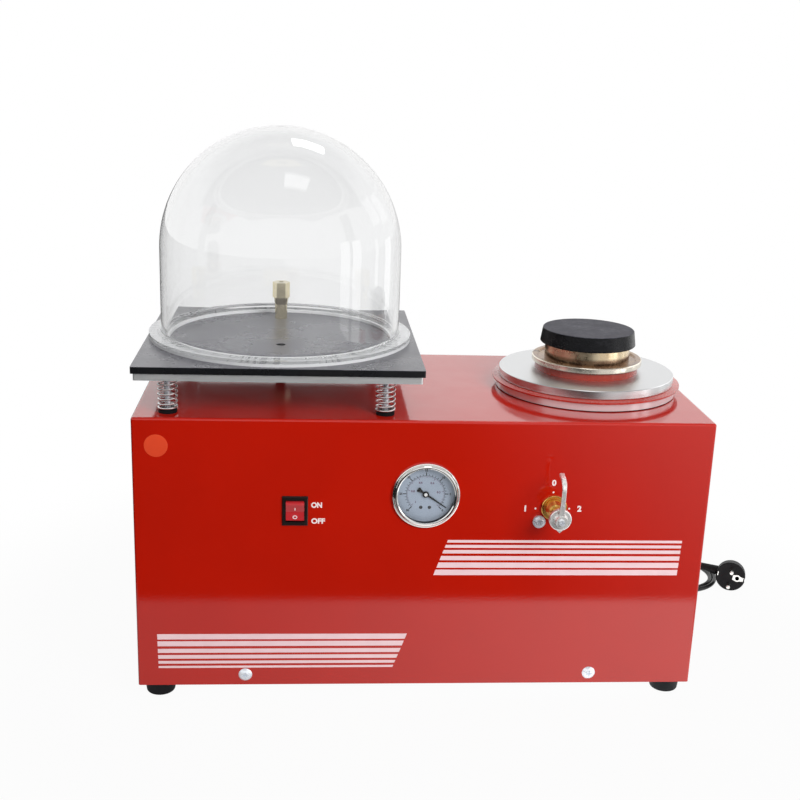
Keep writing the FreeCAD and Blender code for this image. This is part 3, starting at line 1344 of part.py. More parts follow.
def motor_fan():
    start = on_shaft(MOTOR_RIGHT + FAN_GAP)
    hub = cyl(FAN_HUB_R, FAN_W, start, RIGHT)
    blades = []
    for i in range(FAN_BLADES):
        blade = Part.makeBox(FAN_W - 2, FAN_BLADE_T, FAN_R - FAN_HUB_R + 2,
                             V(1 - FAN_W / 2, -FAN_BLADE_T / 2, FAN_HUB_R - 2))
        blade.rotate(V(0, 0, 0), Z_AXIS, FAN_PITCH_DEG)
        blade.rotate(V(0, 0, 0), RIGHT, 360.0 * i / FAN_BLADES)
        blade.translate(start + V(FAN_W / 2, 0, 0))
        blades.append(blade)
    fan = hub.fuse(blades).removeSplitter()
    return fan.cut(cyl(SHAFT_R, FAN_W, start, RIGHT))


def fan_cover():
    """Pressed cap over the fan, with air slots in its end."""
    start = on_shaft(MOTOR_RIGHT - 6)
    outer = cyl(MOTOR_R + FAN_COVER_T + 0.2, FAN_COVER_L, start, RIGHT)
    inner = cyl(MOTOR_R + 0.2, FAN_COVER_L - FAN_COVER_T, start, RIGHT)
    cover = outer.cut(inner)
    end_x = start.x + FAN_COVER_L - FAN_COVER_T
    slots = []
    for i in range(FAN_SLOTS):
        slot = Part.makeBox(FAN_COVER_T + 2, 7.0, 26.0, V(-1, -3.5, 16.0))
        slot.rotate(V(0, 0, 0), RIGHT, 360.0 * i / FAN_SLOTS)
        slot.translate(on_shaft(end_x))
        slots.append(slot)
    return cover.cut(slots)


def pump_cradle():
    """Plate under pump and motor with two saddles for the motor."""
    x0 = PUMP_LEFT - 2
    x1 = MOTOR_RIGHT + 2
    half = PUMP_HALF_D + 2 * CRADLE_MARGIN
    plate = box(x0, x1, SHAFT_Y - half, SHAFT_Y + half, CRADLE_Z, CRADLE_Z + CRADLE_T)
    saddles = []
    for x in (MOTOR_LEFT + 26, MOTOR_RIGHT - 26 - SADDLE_W):
        saddles.append(box(x, x + SADDLE_W, SHAFT_Y - SADDLE_HALF_D, SHAFT_Y + SADDLE_HALF_D,
                           CRADLE_Z + CRADLE_T - 0.5, SHAFT_Z - 25))
    cradle = plate.fuse(saddles).removeSplitter()
    cuts = [cyl(MOTOR_R + HOLE_FIT, MOTOR_L + 20, on_shaft(MOTOR_LEFT - 10), RIGHT)]
    for place in grommet_places():
        cuts.append(cyl(GROMMET_BOLT_R + SCREW_FIT, CRADLE_T, V(place.x, place.y, CRADLE_Z)))
    return cradle.cut(cuts)


def pump_mounts():
    """Rubber bobbins under the cradle, each with its bonded stud and nut."""
    mounts = []
    for place in grommet_places():
        top = CRADLE_Z + CRADLE_T
        bobbin = cyl(GROMMET_R, GROMMET_H, place)
        waist = place + V(0, 0, 3)
        groove = cyl(GROMMET_R + 1, 2.0, waist).cut(cyl(GROMMET_R - 2, 2.0, waist))
        nut = hexagon(2 * GROMMET_BOLT_HEAD_R, GROMMET_BOLT_HEAD_H, V(place.x, place.y, top))
        stud = cyl(GROMMET_BOLT_R, top + GROMMET_BOLT_HEAD_H + 2 - FOOT_H, V(place.x, place.y, FOOT_H))
        mounts.append(bobbin.cut(groove).fuse([nut, stud]).removeSplitter())
    return group(mounts)


# ---------------------------------------------------------------- hoses and leads
def part_way(start, end, x, y, z):
    """Point that lies the given shares of the way from start to end, along each axis by itself."""
    span = end - start
    return start + V(x * span.x, y * span.y, z * span.z)


def hose(start, end, shares, name):
    """Hose through the points that the shares give between its two tails."""
    points = [start] + [part_way(start, end, *share) for share in shares] + [end]
    return swept(points, name, HOSE_R, HOSE_BORE_R)


def pump_hose():
    """Down behind the panel, along under the gauge and back into the pump's front."""
    start = V(VALVE_X, valve_port_y(), VALVE_Z - VALVE_BLOCK_H / 2)
    shares = [(0, 0, 0.77), (0.15, 0.1, 1.14), (0.4, 0.12, 1.19), (0.68, 0.17, 1.09), (0.92, 0.26, 1.05),
              (1, 0.58, 1)]
    return hose(start, pump_port(), shares, "pump_hose")


def table_hose():
    """From the valve's left side, round in a wide bow and up to the fitting under the table."""
    start = V(VALVE_X - VALVE_BLOCK_W / 2, valve_port_y(), table_port_z())
    end = V(FITTING_X, FITTING_Y, PLATE_Z - FITTING_NUT_H)
    shares = [(0.163, 0, 0), (0.326, 0.222, -0.06), (0.6, 0.532, -0.115), (0.849, 0.834, -0.145),
              (0.984, 0.97, 0.019), (1, 1, 0.345)]
    return hose(start, end, shares, "table_hose")


def chamber_hose():
    """From the valve's right side, down beside the chamber and under it."""
    start = V(VALVE_X + VALVE_BLOCK_W / 2, valve_port_y(), VALVE_Z)
    end = V(CHAMBER_PORT_X, CHAMBER_Y - HOSE_R - 4, chamber_port_z())
    shares = [(0.47, 0, 0), (1, -0.02, 0.285), (1, -0.03, 0.565), (1, 0.18, 1)]
    return hose(start, end, shares, "chamber_hose")


def gauge_hose():
    start = V(VALVE_X - VALVE_BLOCK_W / 2, valve_port_y(), GAUGE_Z)
    end = gauge_port() + RIGHT * (HOSE_R + 6)
    run = (start.x - end.x) / 3.0
    points = [start, start + V(-run, 0, 0), end + V(run, 0, 0), end]
    return swept(points, "gauge_hose", HOSE_R, HOSE_BORE_R)


def inner_leads():
    """Supply lead from the gland to the switch, and the switched lead on to the motor."""
    gland = V(GLAND_X, CABINET_D - SHEET - GLAND_INNER_L - HOLE_FIT, GLAND_Z)
    terminal_end = SWITCH_BODY_D + TERMINAL_L + HOLE_FIT
    on_motor = V(SWITCH_X + 34, SHAFT_Y, SHAFT_Z + MOTOR_R + HOLE_FIT)
    supply = [
        gland, gland + V(0, -18, 0), gland + V(0, -46, -8), gland + V(-60, -90, -10), V(90, 60, 36),
        V(-10, 40, 44), V(-90, 64, 92), V(SWITCH_X + 4, 66, 150), V(SWITCH_X, 66, SWITCH_Z - 16),
        V(SWITCH_X, terminal_end + 15, SWITCH_Z - TERMINAL_PITCH),
        V(SWITCH_X, terminal_end, SWITCH_Z - TERMINAL_PITCH),
    ]
    motor = [
        V(SWITCH_X, terminal_end, SWITCH_Z + TERMINAL_PITCH),
        V(SWITCH_X, terminal_end + 33, SWITCH_Z + TERMINAL_PITCH), V(SWITCH_X + 30, 104, SWITCH_Z - 14),
        on_motor + V(0, 0, 26), on_motor,
    ]
    return group([swept(supply, "supply lead", LEAD_R), swept(motor, "motor lead", LEAD_R)])


# ---------------------------------------------------------------- mains lead and plug
def gland_tip():
    return V(GLAND_X, CABINET_D + GLAND_COLLAR_T + GLAND_L, GLAND_Z)


def cord_gland():
    """Bush clipped in the rear panel, with the tapered strain relief of the lead."""
    wall = V(GLAND_X, CABINET_D, GLAND_Z)
    neck = cyl(GLAND_NECK_R, SHEET + GLAND_INNER_L, wall - V(0, SHEET + GLAND_INNER_L, 0), BACK)
    collar = cyl(GLAND_COLLAR_R, GLAND_COLLAR_T, wall, BACK)
    cone = Part.makeCone(GLAND_NECK_R, GLAND_TIP_R, GLAND_L, wall + V(0, GLAND_COLLAR_T, 0), BACK)
    return neck.fuse([collar, cone]).removeSplitter()


def lead_to_coil():
    """Lead from the strain relief, down to the bench, over the loop's left side and into the coil."""
    points = [
        gland_tip(), V(236, 332, 51), V(243, 355, 43), V(261, 370, 31), V(284, 372, 19),
        V(303, 360, 11.5), V(315, 342, 10.2), V(323, 324, 9.4), V(328, 308, 8.0),
    ]
    return swept(points, "lead to coil", CORD_R)


def ring(outer_r, inner_r, height, centre):
    body = cyl(outer_r, height, centre).cut(cyl(inner_r, height, centre))
    return body.makeFillet(COIL_ROUND, [e for e in body.Edges if len(e.Vertexes) == 1])


def cord_coil():
    """Outer shape of the lead's two wide loose turns and of the small coil inside them."""
    loop = ring(LOOP_OUTER_R, LOOP_INNER_R, LOOP_H, V(LOOP_X, LOOP_Y, 0))
    coil = ring(COIL_OUTER_R, COIL_INNER_R, COIL_H, V(COIL_X, LOOP_Y, 0))
    return loop.fuse(coil)


def plug_placement():
    """Plug frame: x along the pins' line, y towards the earth hole, z backwards from the face."""
    turn = math.radians(PLUG_TURN)
    tilt = math.radians(PLUG_TILT)
    roll = math.radians(PLUG_ROLL)
    back = V(math.sin(turn) * math.cos(tilt), math.cos(turn) * math.cos(tilt), -math.sin(tilt))
    level = Z_AXIS.cross(back).normalize()
    up = back.cross(level)
    pins = up * math.cos(roll) - level * math.sin(roll)
    earth = level * -math.cos(roll) - up * math.sin(roll)
    return FreeCAD.Placement(V(PLUG_X, PLUG_Y, PLUG_Z), FreeCAD.Rotation(pins, earth, back, "ZXY"))


def placed_in_plug(shape):
    moved = shape.copy()
    moved.Placement = plug_placement()
    return moved


def lead_to_plug():
    """Lead from the coil's back, round inside the loop and into the plug's side."""
    tip = plug_placement().multVec(V(0, -PLUG_SPOUT_L, PLUG_SPOUT_DEPTH))
    points = [
        V(377, 356.5, 6.4), V(364.5, 343, 12.5), V(360.5, 325, 18), V(365.2, 307, 21.5),
        V(376.5, 295.6, 23.6), tip,
    ]
    return swept(points, "lead to plug", CORD_R)


def power_cord():
    """The two free ends of the one mains lead; the loop lies between them."""
    return group([lead_to_coil(), lead_to_plug()])


def plug_body():
    """Round side-entry plug: thick face, domed back, tapered spout and a notch for each earth contact."""
    profile = [
        (0, 0), (PLUG_FACE_R - 0.8, 0), (PLUG_FACE_R, 0.8), (PLUG_FACE_R - 0.3, PLUG_FACE_L),
        (PLUG_FACE_R - 2.0, PLUG_FACE_L + 4.0), (PLUG_FACE_R - 6.5, PLUG_L - 2.5),
        (PLUG_FACE_R - 9.5, PLUG_L), (0, PLUG_L),
    ]
    body = revolved(profile, V(0, 0, 0))
    root = V(0, 0, PLUG_SPOUT_DEPTH)
    spout = Part.makeCone(PLUG_SPOUT_R, PLUG_SPOUT_TIP_R, PLUG_SPOUT_L, root, V(0, -1, 0))
    cuts = [cyl(EARTH_HOLE_R, EARTH_HOLE_L, V(0, EARTH_HOLE_Y, 0))]
    half = EARTH_CLIP_W / 2 + 0.4
    for y in (PLUG_FACE_R - EARTH_CLIP_D, -PLUG_FACE_R - 1):
        cuts.append(box(-half, half, y, y + EARTH_CLIP_D + 1, -1, PLUG_FACE_L - 3))
    return placed_in_plug(body.fuse(spout).removeSplitter().cut(cuts))


def plug_pins():
    """Two round pins and the two flat earth contacts."""
    pieces = []
    for side in (-0.5, 0.5):
        pin = cyl(PIN_R, PIN_L, V(side * PIN_SPACING, 0, -PIN_L))
        tip = [e for e in pin.Edges if len(e.Vertexes) == 1 and e.CenterOfMass.z < 0.01 - PIN_L]
        pieces.append(pin.makeFillet(1.2, tip))
    half = EARTH_CLIP_W / 2
    floor_y = PLUG_FACE_R - EARTH_CLIP_D
    for y in (floor_y, -floor_y - EARTH_CLIP_T):
        pieces.append(box(-half, half, y, y + EARTH_CLIP_T, 0.5, PLUG_FACE_L - 3))
    return placed_in_plug(group(pieces))


# ---------------------------------------------------------------- write every node
NODES = [
    cabinet_cover, base_pan, rubber_feet, foot_screws, cover_screws,
    table_springs, spring_washers, guide_bushes, table_studs, stud_nuts, table_plate, table_mat,
    vacuum_fitting, bell_jar_dome, bell_jar_ring,
    chamber_seal, chamber_ring, ring_screws, chamber_tub, chamber_gasket,
    adapter_plate, flask_gasket, flask, rubber_cap,
    gauge_case, gauge_bezel, gauge_lens, gauge_dial, gauge_needle, gauge_clamp, gauge_fitting,
    valve_body, valve_flange, valve_bracket, panel_screw, valve_plug, valve_lever, lever_screw,
    switch_housing, rocker,
    pump_block, pump_cover, pump_rotor, pump_vanes, motor_case, motor_shaft, motor_fan, fan_cover,
    pump_cradle, pump_mounts,
    pump_hose, table_hose, chamber_hose, gauge_hose, inner_leads,
    cord_gland, power_cord, cord_coil, plug_body, plug_pins,
]

os.makedirs("parts", exist_ok=True)
for node in NODES:
    export(node(), node.__name__)
print("origin is", round(ORIGIN_Y, 3), "mm behind the front panel;", len(NODES), "nodes")
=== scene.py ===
import math

import bmesh
import bpy
from mathutils import Matrix, Vector


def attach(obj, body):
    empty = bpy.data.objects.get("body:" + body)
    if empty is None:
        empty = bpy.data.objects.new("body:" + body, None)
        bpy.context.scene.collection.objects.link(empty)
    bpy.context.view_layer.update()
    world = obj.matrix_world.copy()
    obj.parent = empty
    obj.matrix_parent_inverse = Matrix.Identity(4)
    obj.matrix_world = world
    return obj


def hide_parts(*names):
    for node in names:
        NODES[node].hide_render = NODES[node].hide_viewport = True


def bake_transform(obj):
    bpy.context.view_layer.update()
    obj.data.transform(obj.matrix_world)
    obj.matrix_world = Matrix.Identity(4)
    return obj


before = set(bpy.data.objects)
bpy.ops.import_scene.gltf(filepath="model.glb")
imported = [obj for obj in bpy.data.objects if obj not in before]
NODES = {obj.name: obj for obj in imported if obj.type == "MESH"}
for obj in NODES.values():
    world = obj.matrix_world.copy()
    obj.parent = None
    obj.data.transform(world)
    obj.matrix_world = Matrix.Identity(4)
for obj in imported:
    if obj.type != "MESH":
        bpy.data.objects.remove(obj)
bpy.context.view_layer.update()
scene = bpy.context.scene

MM = 0.001
# the origin lies this far behind the front panel's face; points below are given from that face
PANEL_BACK = 116.0

# places on the machine, in mm
CABINET_HALF_W, CABINET_D = 290.0, 272.0
TABLE_X, TABLE_Y = -149.4, 133.4
JAR_X, JAR_Y = -149.0, 136.0
CHAMBER_X, CHAMBER_Y = 184.0, 134.0
GAUGE_X, GAUGE_Z, DIAL_FACE_Y = -0.4, 226.9, 4.0
VALVE_X, VALVE_Z = 130.1, 214.5
ROCKER_X, ROCKER_Z = -130.8, 209.5
GLAND_X, GLAND_Z = 236.0, 53.0

# heights and radii, in metres, between which one finish passes into the next; MAT_TOP_Z and CAP_TOP_Z mark
# where painted sheen starts, GAUGE_CASE_R where painted shade starts
MAT_TOP_Z = (0.3566, 0.3570)
CAP_TOP_Z = (0.3702, 0.3708)
FLANGE_FOOT_Z = (0.324, 0.330)
COLLAR_Z = (0.3440, 0.3475)
FLANGE_RIM_R = (0.0578, 0.0590)
ADAPTER_RIM_R = (0.0935, 0.0943)
GAUGE_CASE_R = (0.0302, 0.0306)


def at(x, y, z):
    """Point given in mm from the cabinet's middle, the panel's face and the bench."""
    return Vector((x * MM, (y - PANEL_BACK) * MM, z * MM))


JAR = tuple(at(JAR_X, JAR_Y, 0))
CHAMBER = tuple(at(CHAMBER_X, CHAMBER_Y, 0))
GAUGE = tuple(at(GAUGE_X, 0, GAUGE_Z))
VALVE = tuple(at(VALVE_X, 0, VALVE_Z))


# ---- camera
def make_camera():
    """The photo's camera: its lens, place and turns are fitted to the cabinet's corners."""
    place = at(-119.65, -1105.15, 647.16)
    turns = ((-4.647, "Z"), (-16.170, "X"), (-2.017, "Y"))
    data = bpy.data.cameras.new("camera")
    data.sensor_width = 36.0
    data.lens = 53.252
    data.clip_start = 0.05
    data.clip_end = 100.0
    turn = Matrix.Identity(3)
    for degrees, axis in turns:
        turn = turn @ Matrix.Rotation(math.radians(degrees), 3, axis)
    right, ahead, up = turn.col[0], turn.col[1], turn.col[2]
    matrix = Matrix((right, up, -ahead)).transposed().to_4x4()
    matrix.translation = place
    camera = bpy.data.objects.new("camera", data)
    camera.matrix_world = matrix
    scene.collection.objects.link(camera)
    scene.camera = camera


make_camera()


# ---- mesh helpers
def add_object(name, mesh, material, smooth=True, sharp=35.0):
    if smooth:
        mesh.shade_smooth()
        mesh.set_sharp_from_angle(angle=math.radians(sharp))
    else:
        mesh.shade_flat()
    mesh.materials.append(material)
    obj = bpy.data.objects.new(name, mesh)
    scene.collection.objects.link(obj)
    return obj


def mesh_from(bm, name):
    bmesh.ops.recalc_face_normals(bm, faces=bm.faces)
    mesh = bpy.data.meshes.new(name)
    bm.to_mesh(mesh)
    bm.free()
    return mesh


def grid_faces(bm, rows, closed_rows=False, closed_columns=True):
    """Quads between rings of vertices; each row is a list of positions of the same length."""
    made = [[bm.verts.new(p) for p in row] for row in rows]
    count = len(made[0])
    last = len(made) if closed_rows else len(made) - 1
    for i in range(last):
        a, b = made[i], made[(i + 1) % len(made)]
        for j in range(count if closed_columns else count - 1):
            k = (j + 1) % count
            bm.faces.new((a[j], a[k], b[k], b[j]))
    return made


def capped_grid(bm, rows, closed_columns=True):
    """Quads between rings, with a face over the first ring and over the last."""
    made = grid_faces(bm, rows, closed_columns=closed_columns)
    bm.faces.new(made[0])
    bm.faces.new(made[-1])


def axis_frame(axis):
    """Two directions square to axis."""
    axis = Vector(axis).normalized()
    side = Vector((0, 0, 1)) if abs(axis.z) < 0.9 else Vector((1, 0, 0))
    u = axis.cross(side).normalized()
    return u, axis.cross(u).normalized()


def lathe(bm, profile, base, axis, segments):
    """Round body from (radius, height) pairs in mm, standing on base along axis."""
    least = 0.001
    axis = Vector(axis).normalized()
    u, v = axis_frame(axis)
    rows = []
    for radius, height in profile:
        row = []
        for j in range(segments):
            turn = 2 * math.pi * j / segments
            out = u * math.cos(turn) + v * math.sin(turn)
            row.append(base + axis * (height * MM) + out * (max(radius, least) * MM))
        rows.append(row)
    made = grid_faces(bm, rows)
    if profile[0] != profile[-1]:
        for row in (made[0], made[-1]):
            if row[0].co != row[segments // 2].co:
                bm.faces.new(row)


def tube(bm, points, radius, sides=12):
    """Round wire along points, with its rings kept square to the path."""
    rows = []
    normal = None
    for i, point in enumerate(points):
        ahead = points[min(i + 1, len(points) - 1)] - points[max(i - 1, 0)]
        ahead.normalize()
        if normal is None:
            normal = axis_frame(ahead)[0]
        normal = (normal - ahead * normal.dot(ahead)).normalized()
        side = ahead.cross(normal)
        row = []
        for j in range(sides):
            turn = 2 * math.pi * j / sides
            row.append(point + (normal * math.cos(turn) + side * math.sin(turn)) * radius)
        rows.append(row)
    capped_grid(bm, rows)


# ---- materials
def srgb(r, g, b):
    def linear(c):
        c /= 255.0
        return c / 12.92 if c <= 0.04045 else ((c + 0.055) / 1.055) ** 2.4
    return (linear(r), linear(g), linear(b), 1.0)


def shade(colour, factor):
    return tuple(min(c * factor, 1.0) for c in colour[:3]) + (1.0,)


class Finish:
    """A procedural material, built up in layers on one Principled shader."""

    def __init__(self, name, colour, roughness, metallic=0.0, sockets=None):
        self.material = bpy.data.materials.new(name)
        self.material.use_nodes = True
        self.tree = self.material.node_tree
        self.shader = self.tree.nodes["Principled BSDF"]
        self.colour = colour
        self.set("Base Color", colour)
        self.set("Roughness", roughness)
        self.set("Metallic", metallic)
        for key, value in (sockets or {}).items():
            self.set(key, value)
        self.point = self.add("ShaderNodeTexCoord").outputs["Object"]
        self.relief = None
        self.material.diffuse_color = colour

    def set(self, socket, value):
        self.shader.inputs[socket].default_value = value

    def add(self, kind, settings=None, inputs=None):
        node = self.tree.nodes.new(kind)
        for key, value in (settings or {}).items():
            setattr(node, key, value)
        for key, value in (inputs or {}).items():
            if isinstance(value, bpy.types.NodeSocket):
                self.tree.links.new(value, node.inputs[key])
            else:
                node.inputs[key].default_value = value
        return node

    def math(self, operation, a, b=0.0):
        return self.add("ShaderNodeMath", {"operation": operation}, {0: a, 1: b}).outputs[0]

    def vector_math(self, operation, a, b):
        return self.add("ShaderNodeVectorMath", {"operation": operation}, {0: a, 1: b}).outputs[0]

    def stretched(self, scale, centre=(0, 0, 0)):
        """Coordinates measured from centre and scaled by axis."""
        moved = self.vector_math("SUBTRACT", self.point, centre)
        return self.vector_math("MULTIPLY", moved, scale)

    def radius(self, centre, axis="Z"):
        """Distance from an axis through centre."""
        keep = {"X": (0, 1, 1), "Y": (1, 0, 1), "Z": (1, 1, 0)}[axis]
        flat = self.stretched(keep, centre)
        return self.add("ShaderNodeVectorMath", {"operation": "LENGTH"}, {0: flat}).outputs["Value"]

    def part(self, axis):
        return self.add("ShaderNodeSeparateXYZ", None, {0: self.point}).outputs[axis]

    def noise(self, scale, detail=3.0, rough=0.55, point=None, distortion=0.0):
        inputs = {"Vector": point or self.point, "Scale": scale, "Detail": detail, "Roughness": rough,
                  "Distortion": distortion}
        return self.add("ShaderNodeTexNoise", None, inputs).outputs["Fac"]

    def rings(self, centre, scale, axis="Z"):
        """Fine concentric turning marks."""
        node = self.add("ShaderNodeTexNoise", {"noise_dimensions": "1D"},
                        {"W": self.radius(centre, axis), "Scale": scale, "Detail": 3.0})
        return node.outputs["Fac"]

    def cells(self, scale):
        """One random grey in each cell."""
        cell = self.add("ShaderNodeTexVoronoi", None, {"Vector": self.point, "Scale": scale})
        return self.add("ShaderNodeRGBToBW", None, {0: cell.outputs["Color"]}).outputs[0]

    def spread(self, value, low, high, start=0.3, end=0.7):
        """Carry start..end of a value over to low..high, with soft ends."""
        return self.add("ShaderNodeMapRange", {"interpolation_type": "SMOOTHSTEP"},
                        {"Value": value, "From Min": start, "From Max": end, "To Min": low,
                         "To Max": high}).outputs["Result"]

    def mix(self, factor, a, b):
        node = self.add("ShaderNodeMix", {"data_type": "RGBA"}, {0: factor})
        for index, value in ((6, a), (7, b)):
            if isinstance(value, bpy.types.NodeSocket):
                self.tree.links.new(value, node.inputs[index])
            else:
                node.inputs[index].default_value = value
        return node.outputs[2]

    def paint(self, factor, a, b):
        self.tree.links.new(self.mix(factor, a, b), self.shader.inputs["Base Color"])

    def tint(self, factor, dark, light, start=0.3, end=0.7):
        """Vary the finish's own colour between two shades of it."""
        self.paint(self.spread(factor, 0, 1, start, end), shade(self.colour, dark), shade(self.colour, light))

    def gloss(self, factor, low, high, start=0.3, end=0.7):
        self.tree.links.new(self.spread(factor, low, high, start, end), self.shader.inputs["Roughness"])

    def bump(self, height, strength, distance, coat=False):
        inputs = {"Height": height, "Strength": strength, "Distance": distance}
        if self.relief is not None:
            inputs["Normal"] = self.relief
        self.relief = self.add("ShaderNodeBump", None, inputs).outputs["Normal"]
        self.tree.links.new(self.relief, self.shader.inputs["Normal"])
        if coat:
            self.tree.links.new(self.relief, self.shader.inputs["Coat Normal"])


def red_paint():
    """Powder coat: slightly cloudy under a clear, faintly pebbled gloss."""
    f = Finish("red_powder_coat", srgb(192, 22, 1), 0.42, 0.0,
               {"Coat Weight": 1.0, "Coat Roughness": 0.07, "Coat IOR": 1.54, "Specular IOR Level": 0.04})
    f.tint(f.noise(9.0), 0.97, 1.03)
    f.gloss(f.noise(20.7, 4.0), 0.38, 0.46)
    f.bump(f.noise(420.0, 1.5, 0.4), 0.10, 0.00025, coat=True)
    return f.material


def zinc_sheet():
    f = Finish("galvanised_sheet", (0.62, 0.64, 0.66, 1), 0.38, 1.0)
    f.paint(f.spread(f.cells(90.0), 0, 1, 0.1, 0.9), (0.52, 0.54, 0.56, 1), (0.70, 0.72, 0.74, 1))
    f.gloss(f.noise(60.0), 0.30, 0.46)
    return f.material


def rubber(name, colour, rough=(0.62, 0.78), scale=300.0):
    """Dull rubber with a little dust in patches."""
    f = Finish(name, colour, rough[0], 0.0, {"Specular IOR Level": 0.22})
    cloud = f.noise(22.0, 5.0, 0.6)
    f.paint(f.spread(cloud, 0.0, 0.15, 0.45, 0.8), colour, shade(colour, 3.0))
    f.gloss(f.noise(70.0, 4.0), rough[0], rough[1])
    f.bump(f.noise(scale, 4.0, 0.6), 0.25, 0.0002)
    return f.material


def table_rubber():
    """Mat painted grey in patches on top as a painted sheen, and black round its edge."""
    f = Finish("table_mat_rubber", srgb(78, 78, 86), 0.34, 0.0, {"Specular IOR Level": 0.6})
    cloud = f.noise(7.0, 4.0, 0.6)
    # painted sheen: the top's patchy grey stands in for the light that the black rubber mirrors
    patchy_sheen = f.mix(f.spread(cloud, 0.0, 1.0), srgb(76, 76, 84), srgb(92, 91, 99))
    f.paint(f.spread(f.part("Z"), 0, 1, *MAT_TOP_Z), srgb(15, 16, 19), patchy_sheen)
    f.gloss(f.noise(14.0, 5.0, 0.65), 0.24, 0.34)
    f.bump(f.noise(600.0, 3.0, 0.6), 0.05, 0.00008)
    return f.material


def brushed(name, colour, rough, across, metallic=1.0):
    """Metal with straight fine scratches; across holds the scale along each axis."""
    f = Finish(name, colour, rough[0], metallic)
    lines = f.noise(1.0, 5.0, 0.65, f.stretched(across))
    f.tint(lines, 0.88, 1.06, 0.25, 0.75)
    f.gloss(lines, *rough, 0.25, 0.75)
    f.bump(lines, 0.08, 0.0001)
    return f.material


def turned(name, colour, rough, centre, axis="Z", scale=2200.0, bump=0.10, tint=0.10, metallic=1.0):
    """Metal with concentric turning marks about an axis; tint is how much the marks darken it."""
    f = Finish(name, colour, rough[0], metallic)
    marks = f.rings(centre, scale, axis)
    f.tint(marks, 1 - tint, 1 + tint * 0.5)
    f.gloss(f.noise(35.0, 3.0), *rough)
    f.bump(marks, bump, 0.0001)
    return f.material


def adapter_aluminium():
    """Turned on top and polished round its edge."""
    f = Finish("adapter_aluminium", (0.75, 0.755, 0.76, 1), 0.34, 1.0)
    marks = f.rings(CHAMBER, 2200.0)
    f.paint(f.spread(marks, 0, 1), (0.60, 0.605, 0.61, 1), (0.71, 0.715, 0.72, 1))
    f.gloss(f.radius(CHAMBER), 0.36, 0.27, *ADAPTER_RIM_R)
    f.bump(marks, 0.08, 0.0001)
    return f.material


def plated(name, colour, rough, scale=160.0, amount=0.06, bump=0.03, metallic=1.0):
    """Plated or polished metal, slightly uneven."""
    f = Finish(name, colour, rough[0], metallic)
    f.tint(f.noise(scale, 3.0), 1 - amount, 1 + amount)
    f.gloss(f.noise(scale * 1.7, 4.0), *rough)
    f.bump(f.noise(scale * 4.0, 3.0), bump, 0.0001)
    return f.material


def worn_chrome():
    """Cast and plated, its shine dulled by handling."""
    f = Finish("worn_chrome", (0.91, 0.90, 0.885, 1), 0.22, 0.6)
    f.paint(f.spread(f.noise(150.0, 4.0, 0.6), 0, 1), (0.83, 0.82, 0.80, 1), (0.98, 0.975, 0.965, 1))
    f.gloss(f.noise(320.0, 4.0), 0.14, 0.30)
    f.bump(f.noise(900.0, 3.0), 0.06, 0.0001)
    return f.material


def gauge_case():
    """Brushed outside, and near black inside, where the dial sits, as painted shade for the dark gap round
    the dial.
    """
    f = Finish("case_steel", (0.62, 0.62, 0.62, 1), 0.30, 1.0)
    lines = f.noise(1.0, 5.0, 0.65, f.stretched((900, 30, 900)))
    steel = f.mix(f.spread(lines, 0, 1, 0.25, 0.75), (0.55, 0.55, 0.55, 1), (0.66, 0.66, 0.66, 1))
    # painted shade: inside GAUGE_CASE_R the case is painted near black for the shadowed gap round the dial
    inside = f.spread(f.radius(GAUGE, "Y"), 1, 0, *GAUGE_CASE_R)
    f.paint(inside, steel, (0.01, 0.011, 0.014, 1))
    f.gloss(lines, 0.26, 0.38, 0.25, 0.75)
    f.bump(lines, 0.08, 0.0001)
    return f.material


def cast(name, colour, rough, scale=500.0, bump=0.3, metallic=1.0):
    """Rough casting, bare or enamelled."""
    f = Finish(name, colour, rough[0], metallic)
    f.tint(f.noise(scale * 0.15, 4.0), 0.85, 1.12)
    f.gloss(f.noise(scale * 0.3, 3.0), *rough)
    f.bump(f.noise(scale, 4.0, 0.65), bump, 0.0003)
    return f.material


def plastic(name, colour, rough, scale=1200.0, bump=0.10, sockets=None):
    """Moulded plastic with a fine grain of its own scale."""
    f = Finish(name, colour, rough[0], 0.0, sockets)
    f.tint(f.noise(25.0, 3.0), 0.94, 1.06)
    f.gloss(f.noise(90.0, 3.0), *rough)
    f.bump(f.noise(scale, 2.0, 0.6), bump, 0.00008)
    return f.material


def clear_acrylic():
    """Clear wall, a little grey in its depth, with faint smears and a slightly uneven surface."""
    f = Finish("clear_acrylic", (0.985, 0.988, 0.99, 1), 0.0, 0.0, {"Transmission Weight": 1.0, "IOR": 1.49})
    depth = f.add("ShaderNodeVolumeAbsorption", None, {"Color": (0.0, 0.0, 0.0, 1), "Density": 8.0})
    f.tree.links.new(depth.outputs[0], f.tree.nodes["Material Output"].inputs["Volume"])
    f.gloss(f.noise(5.0, 4.0, 0.6), 0.0, 0.035, 0.45, 0.8)
    f.bump(f.noise(9.0, 2.0), 0.03, 0.0006)
    return f.material


def frosted_acrylic():
    """White ring with turning marks."""
    f = Finish("frosted_acrylic", (0.93, 0.935, 0.94, 1), 0.35, 0.0,
               {"Transmission Weight": 0.10, "IOR": 1.49, "Coat Weight": 0.3, "Coat Roughness": 0.2})
    marks = f.rings(JAR, 1500.0)
    f.paint(f.spread(marks, 0, 1), (0.86, 0.87, 0.88, 1), (0.97, 0.97, 0.98, 1))
    f.gloss(f.noise(60.0), 0.28, 0.42)
    f.bump(marks, 0.05, 0.0001)
    return f.material


def silicone(name, colour):
    f = Finish(name, colour, 0.30, 0.0,
               {"Subsurface Weight": 0.25, "Subsurface Radius": (0.004, 0.0012, 0.0006),
                "Specular IOR Level": 0.5, "Coat Weight": 0.4, "Coat Roughness": 0.12})
    f.tint(f.noise(40.0, 3.0), 0.92, 1.08)
    f.gloss(f.noise(90.0, 3.0), 0.20, 0.32)
    f.bump(f.noise(700.0, 3.0), 0.06, 0.0001)
    return f.material


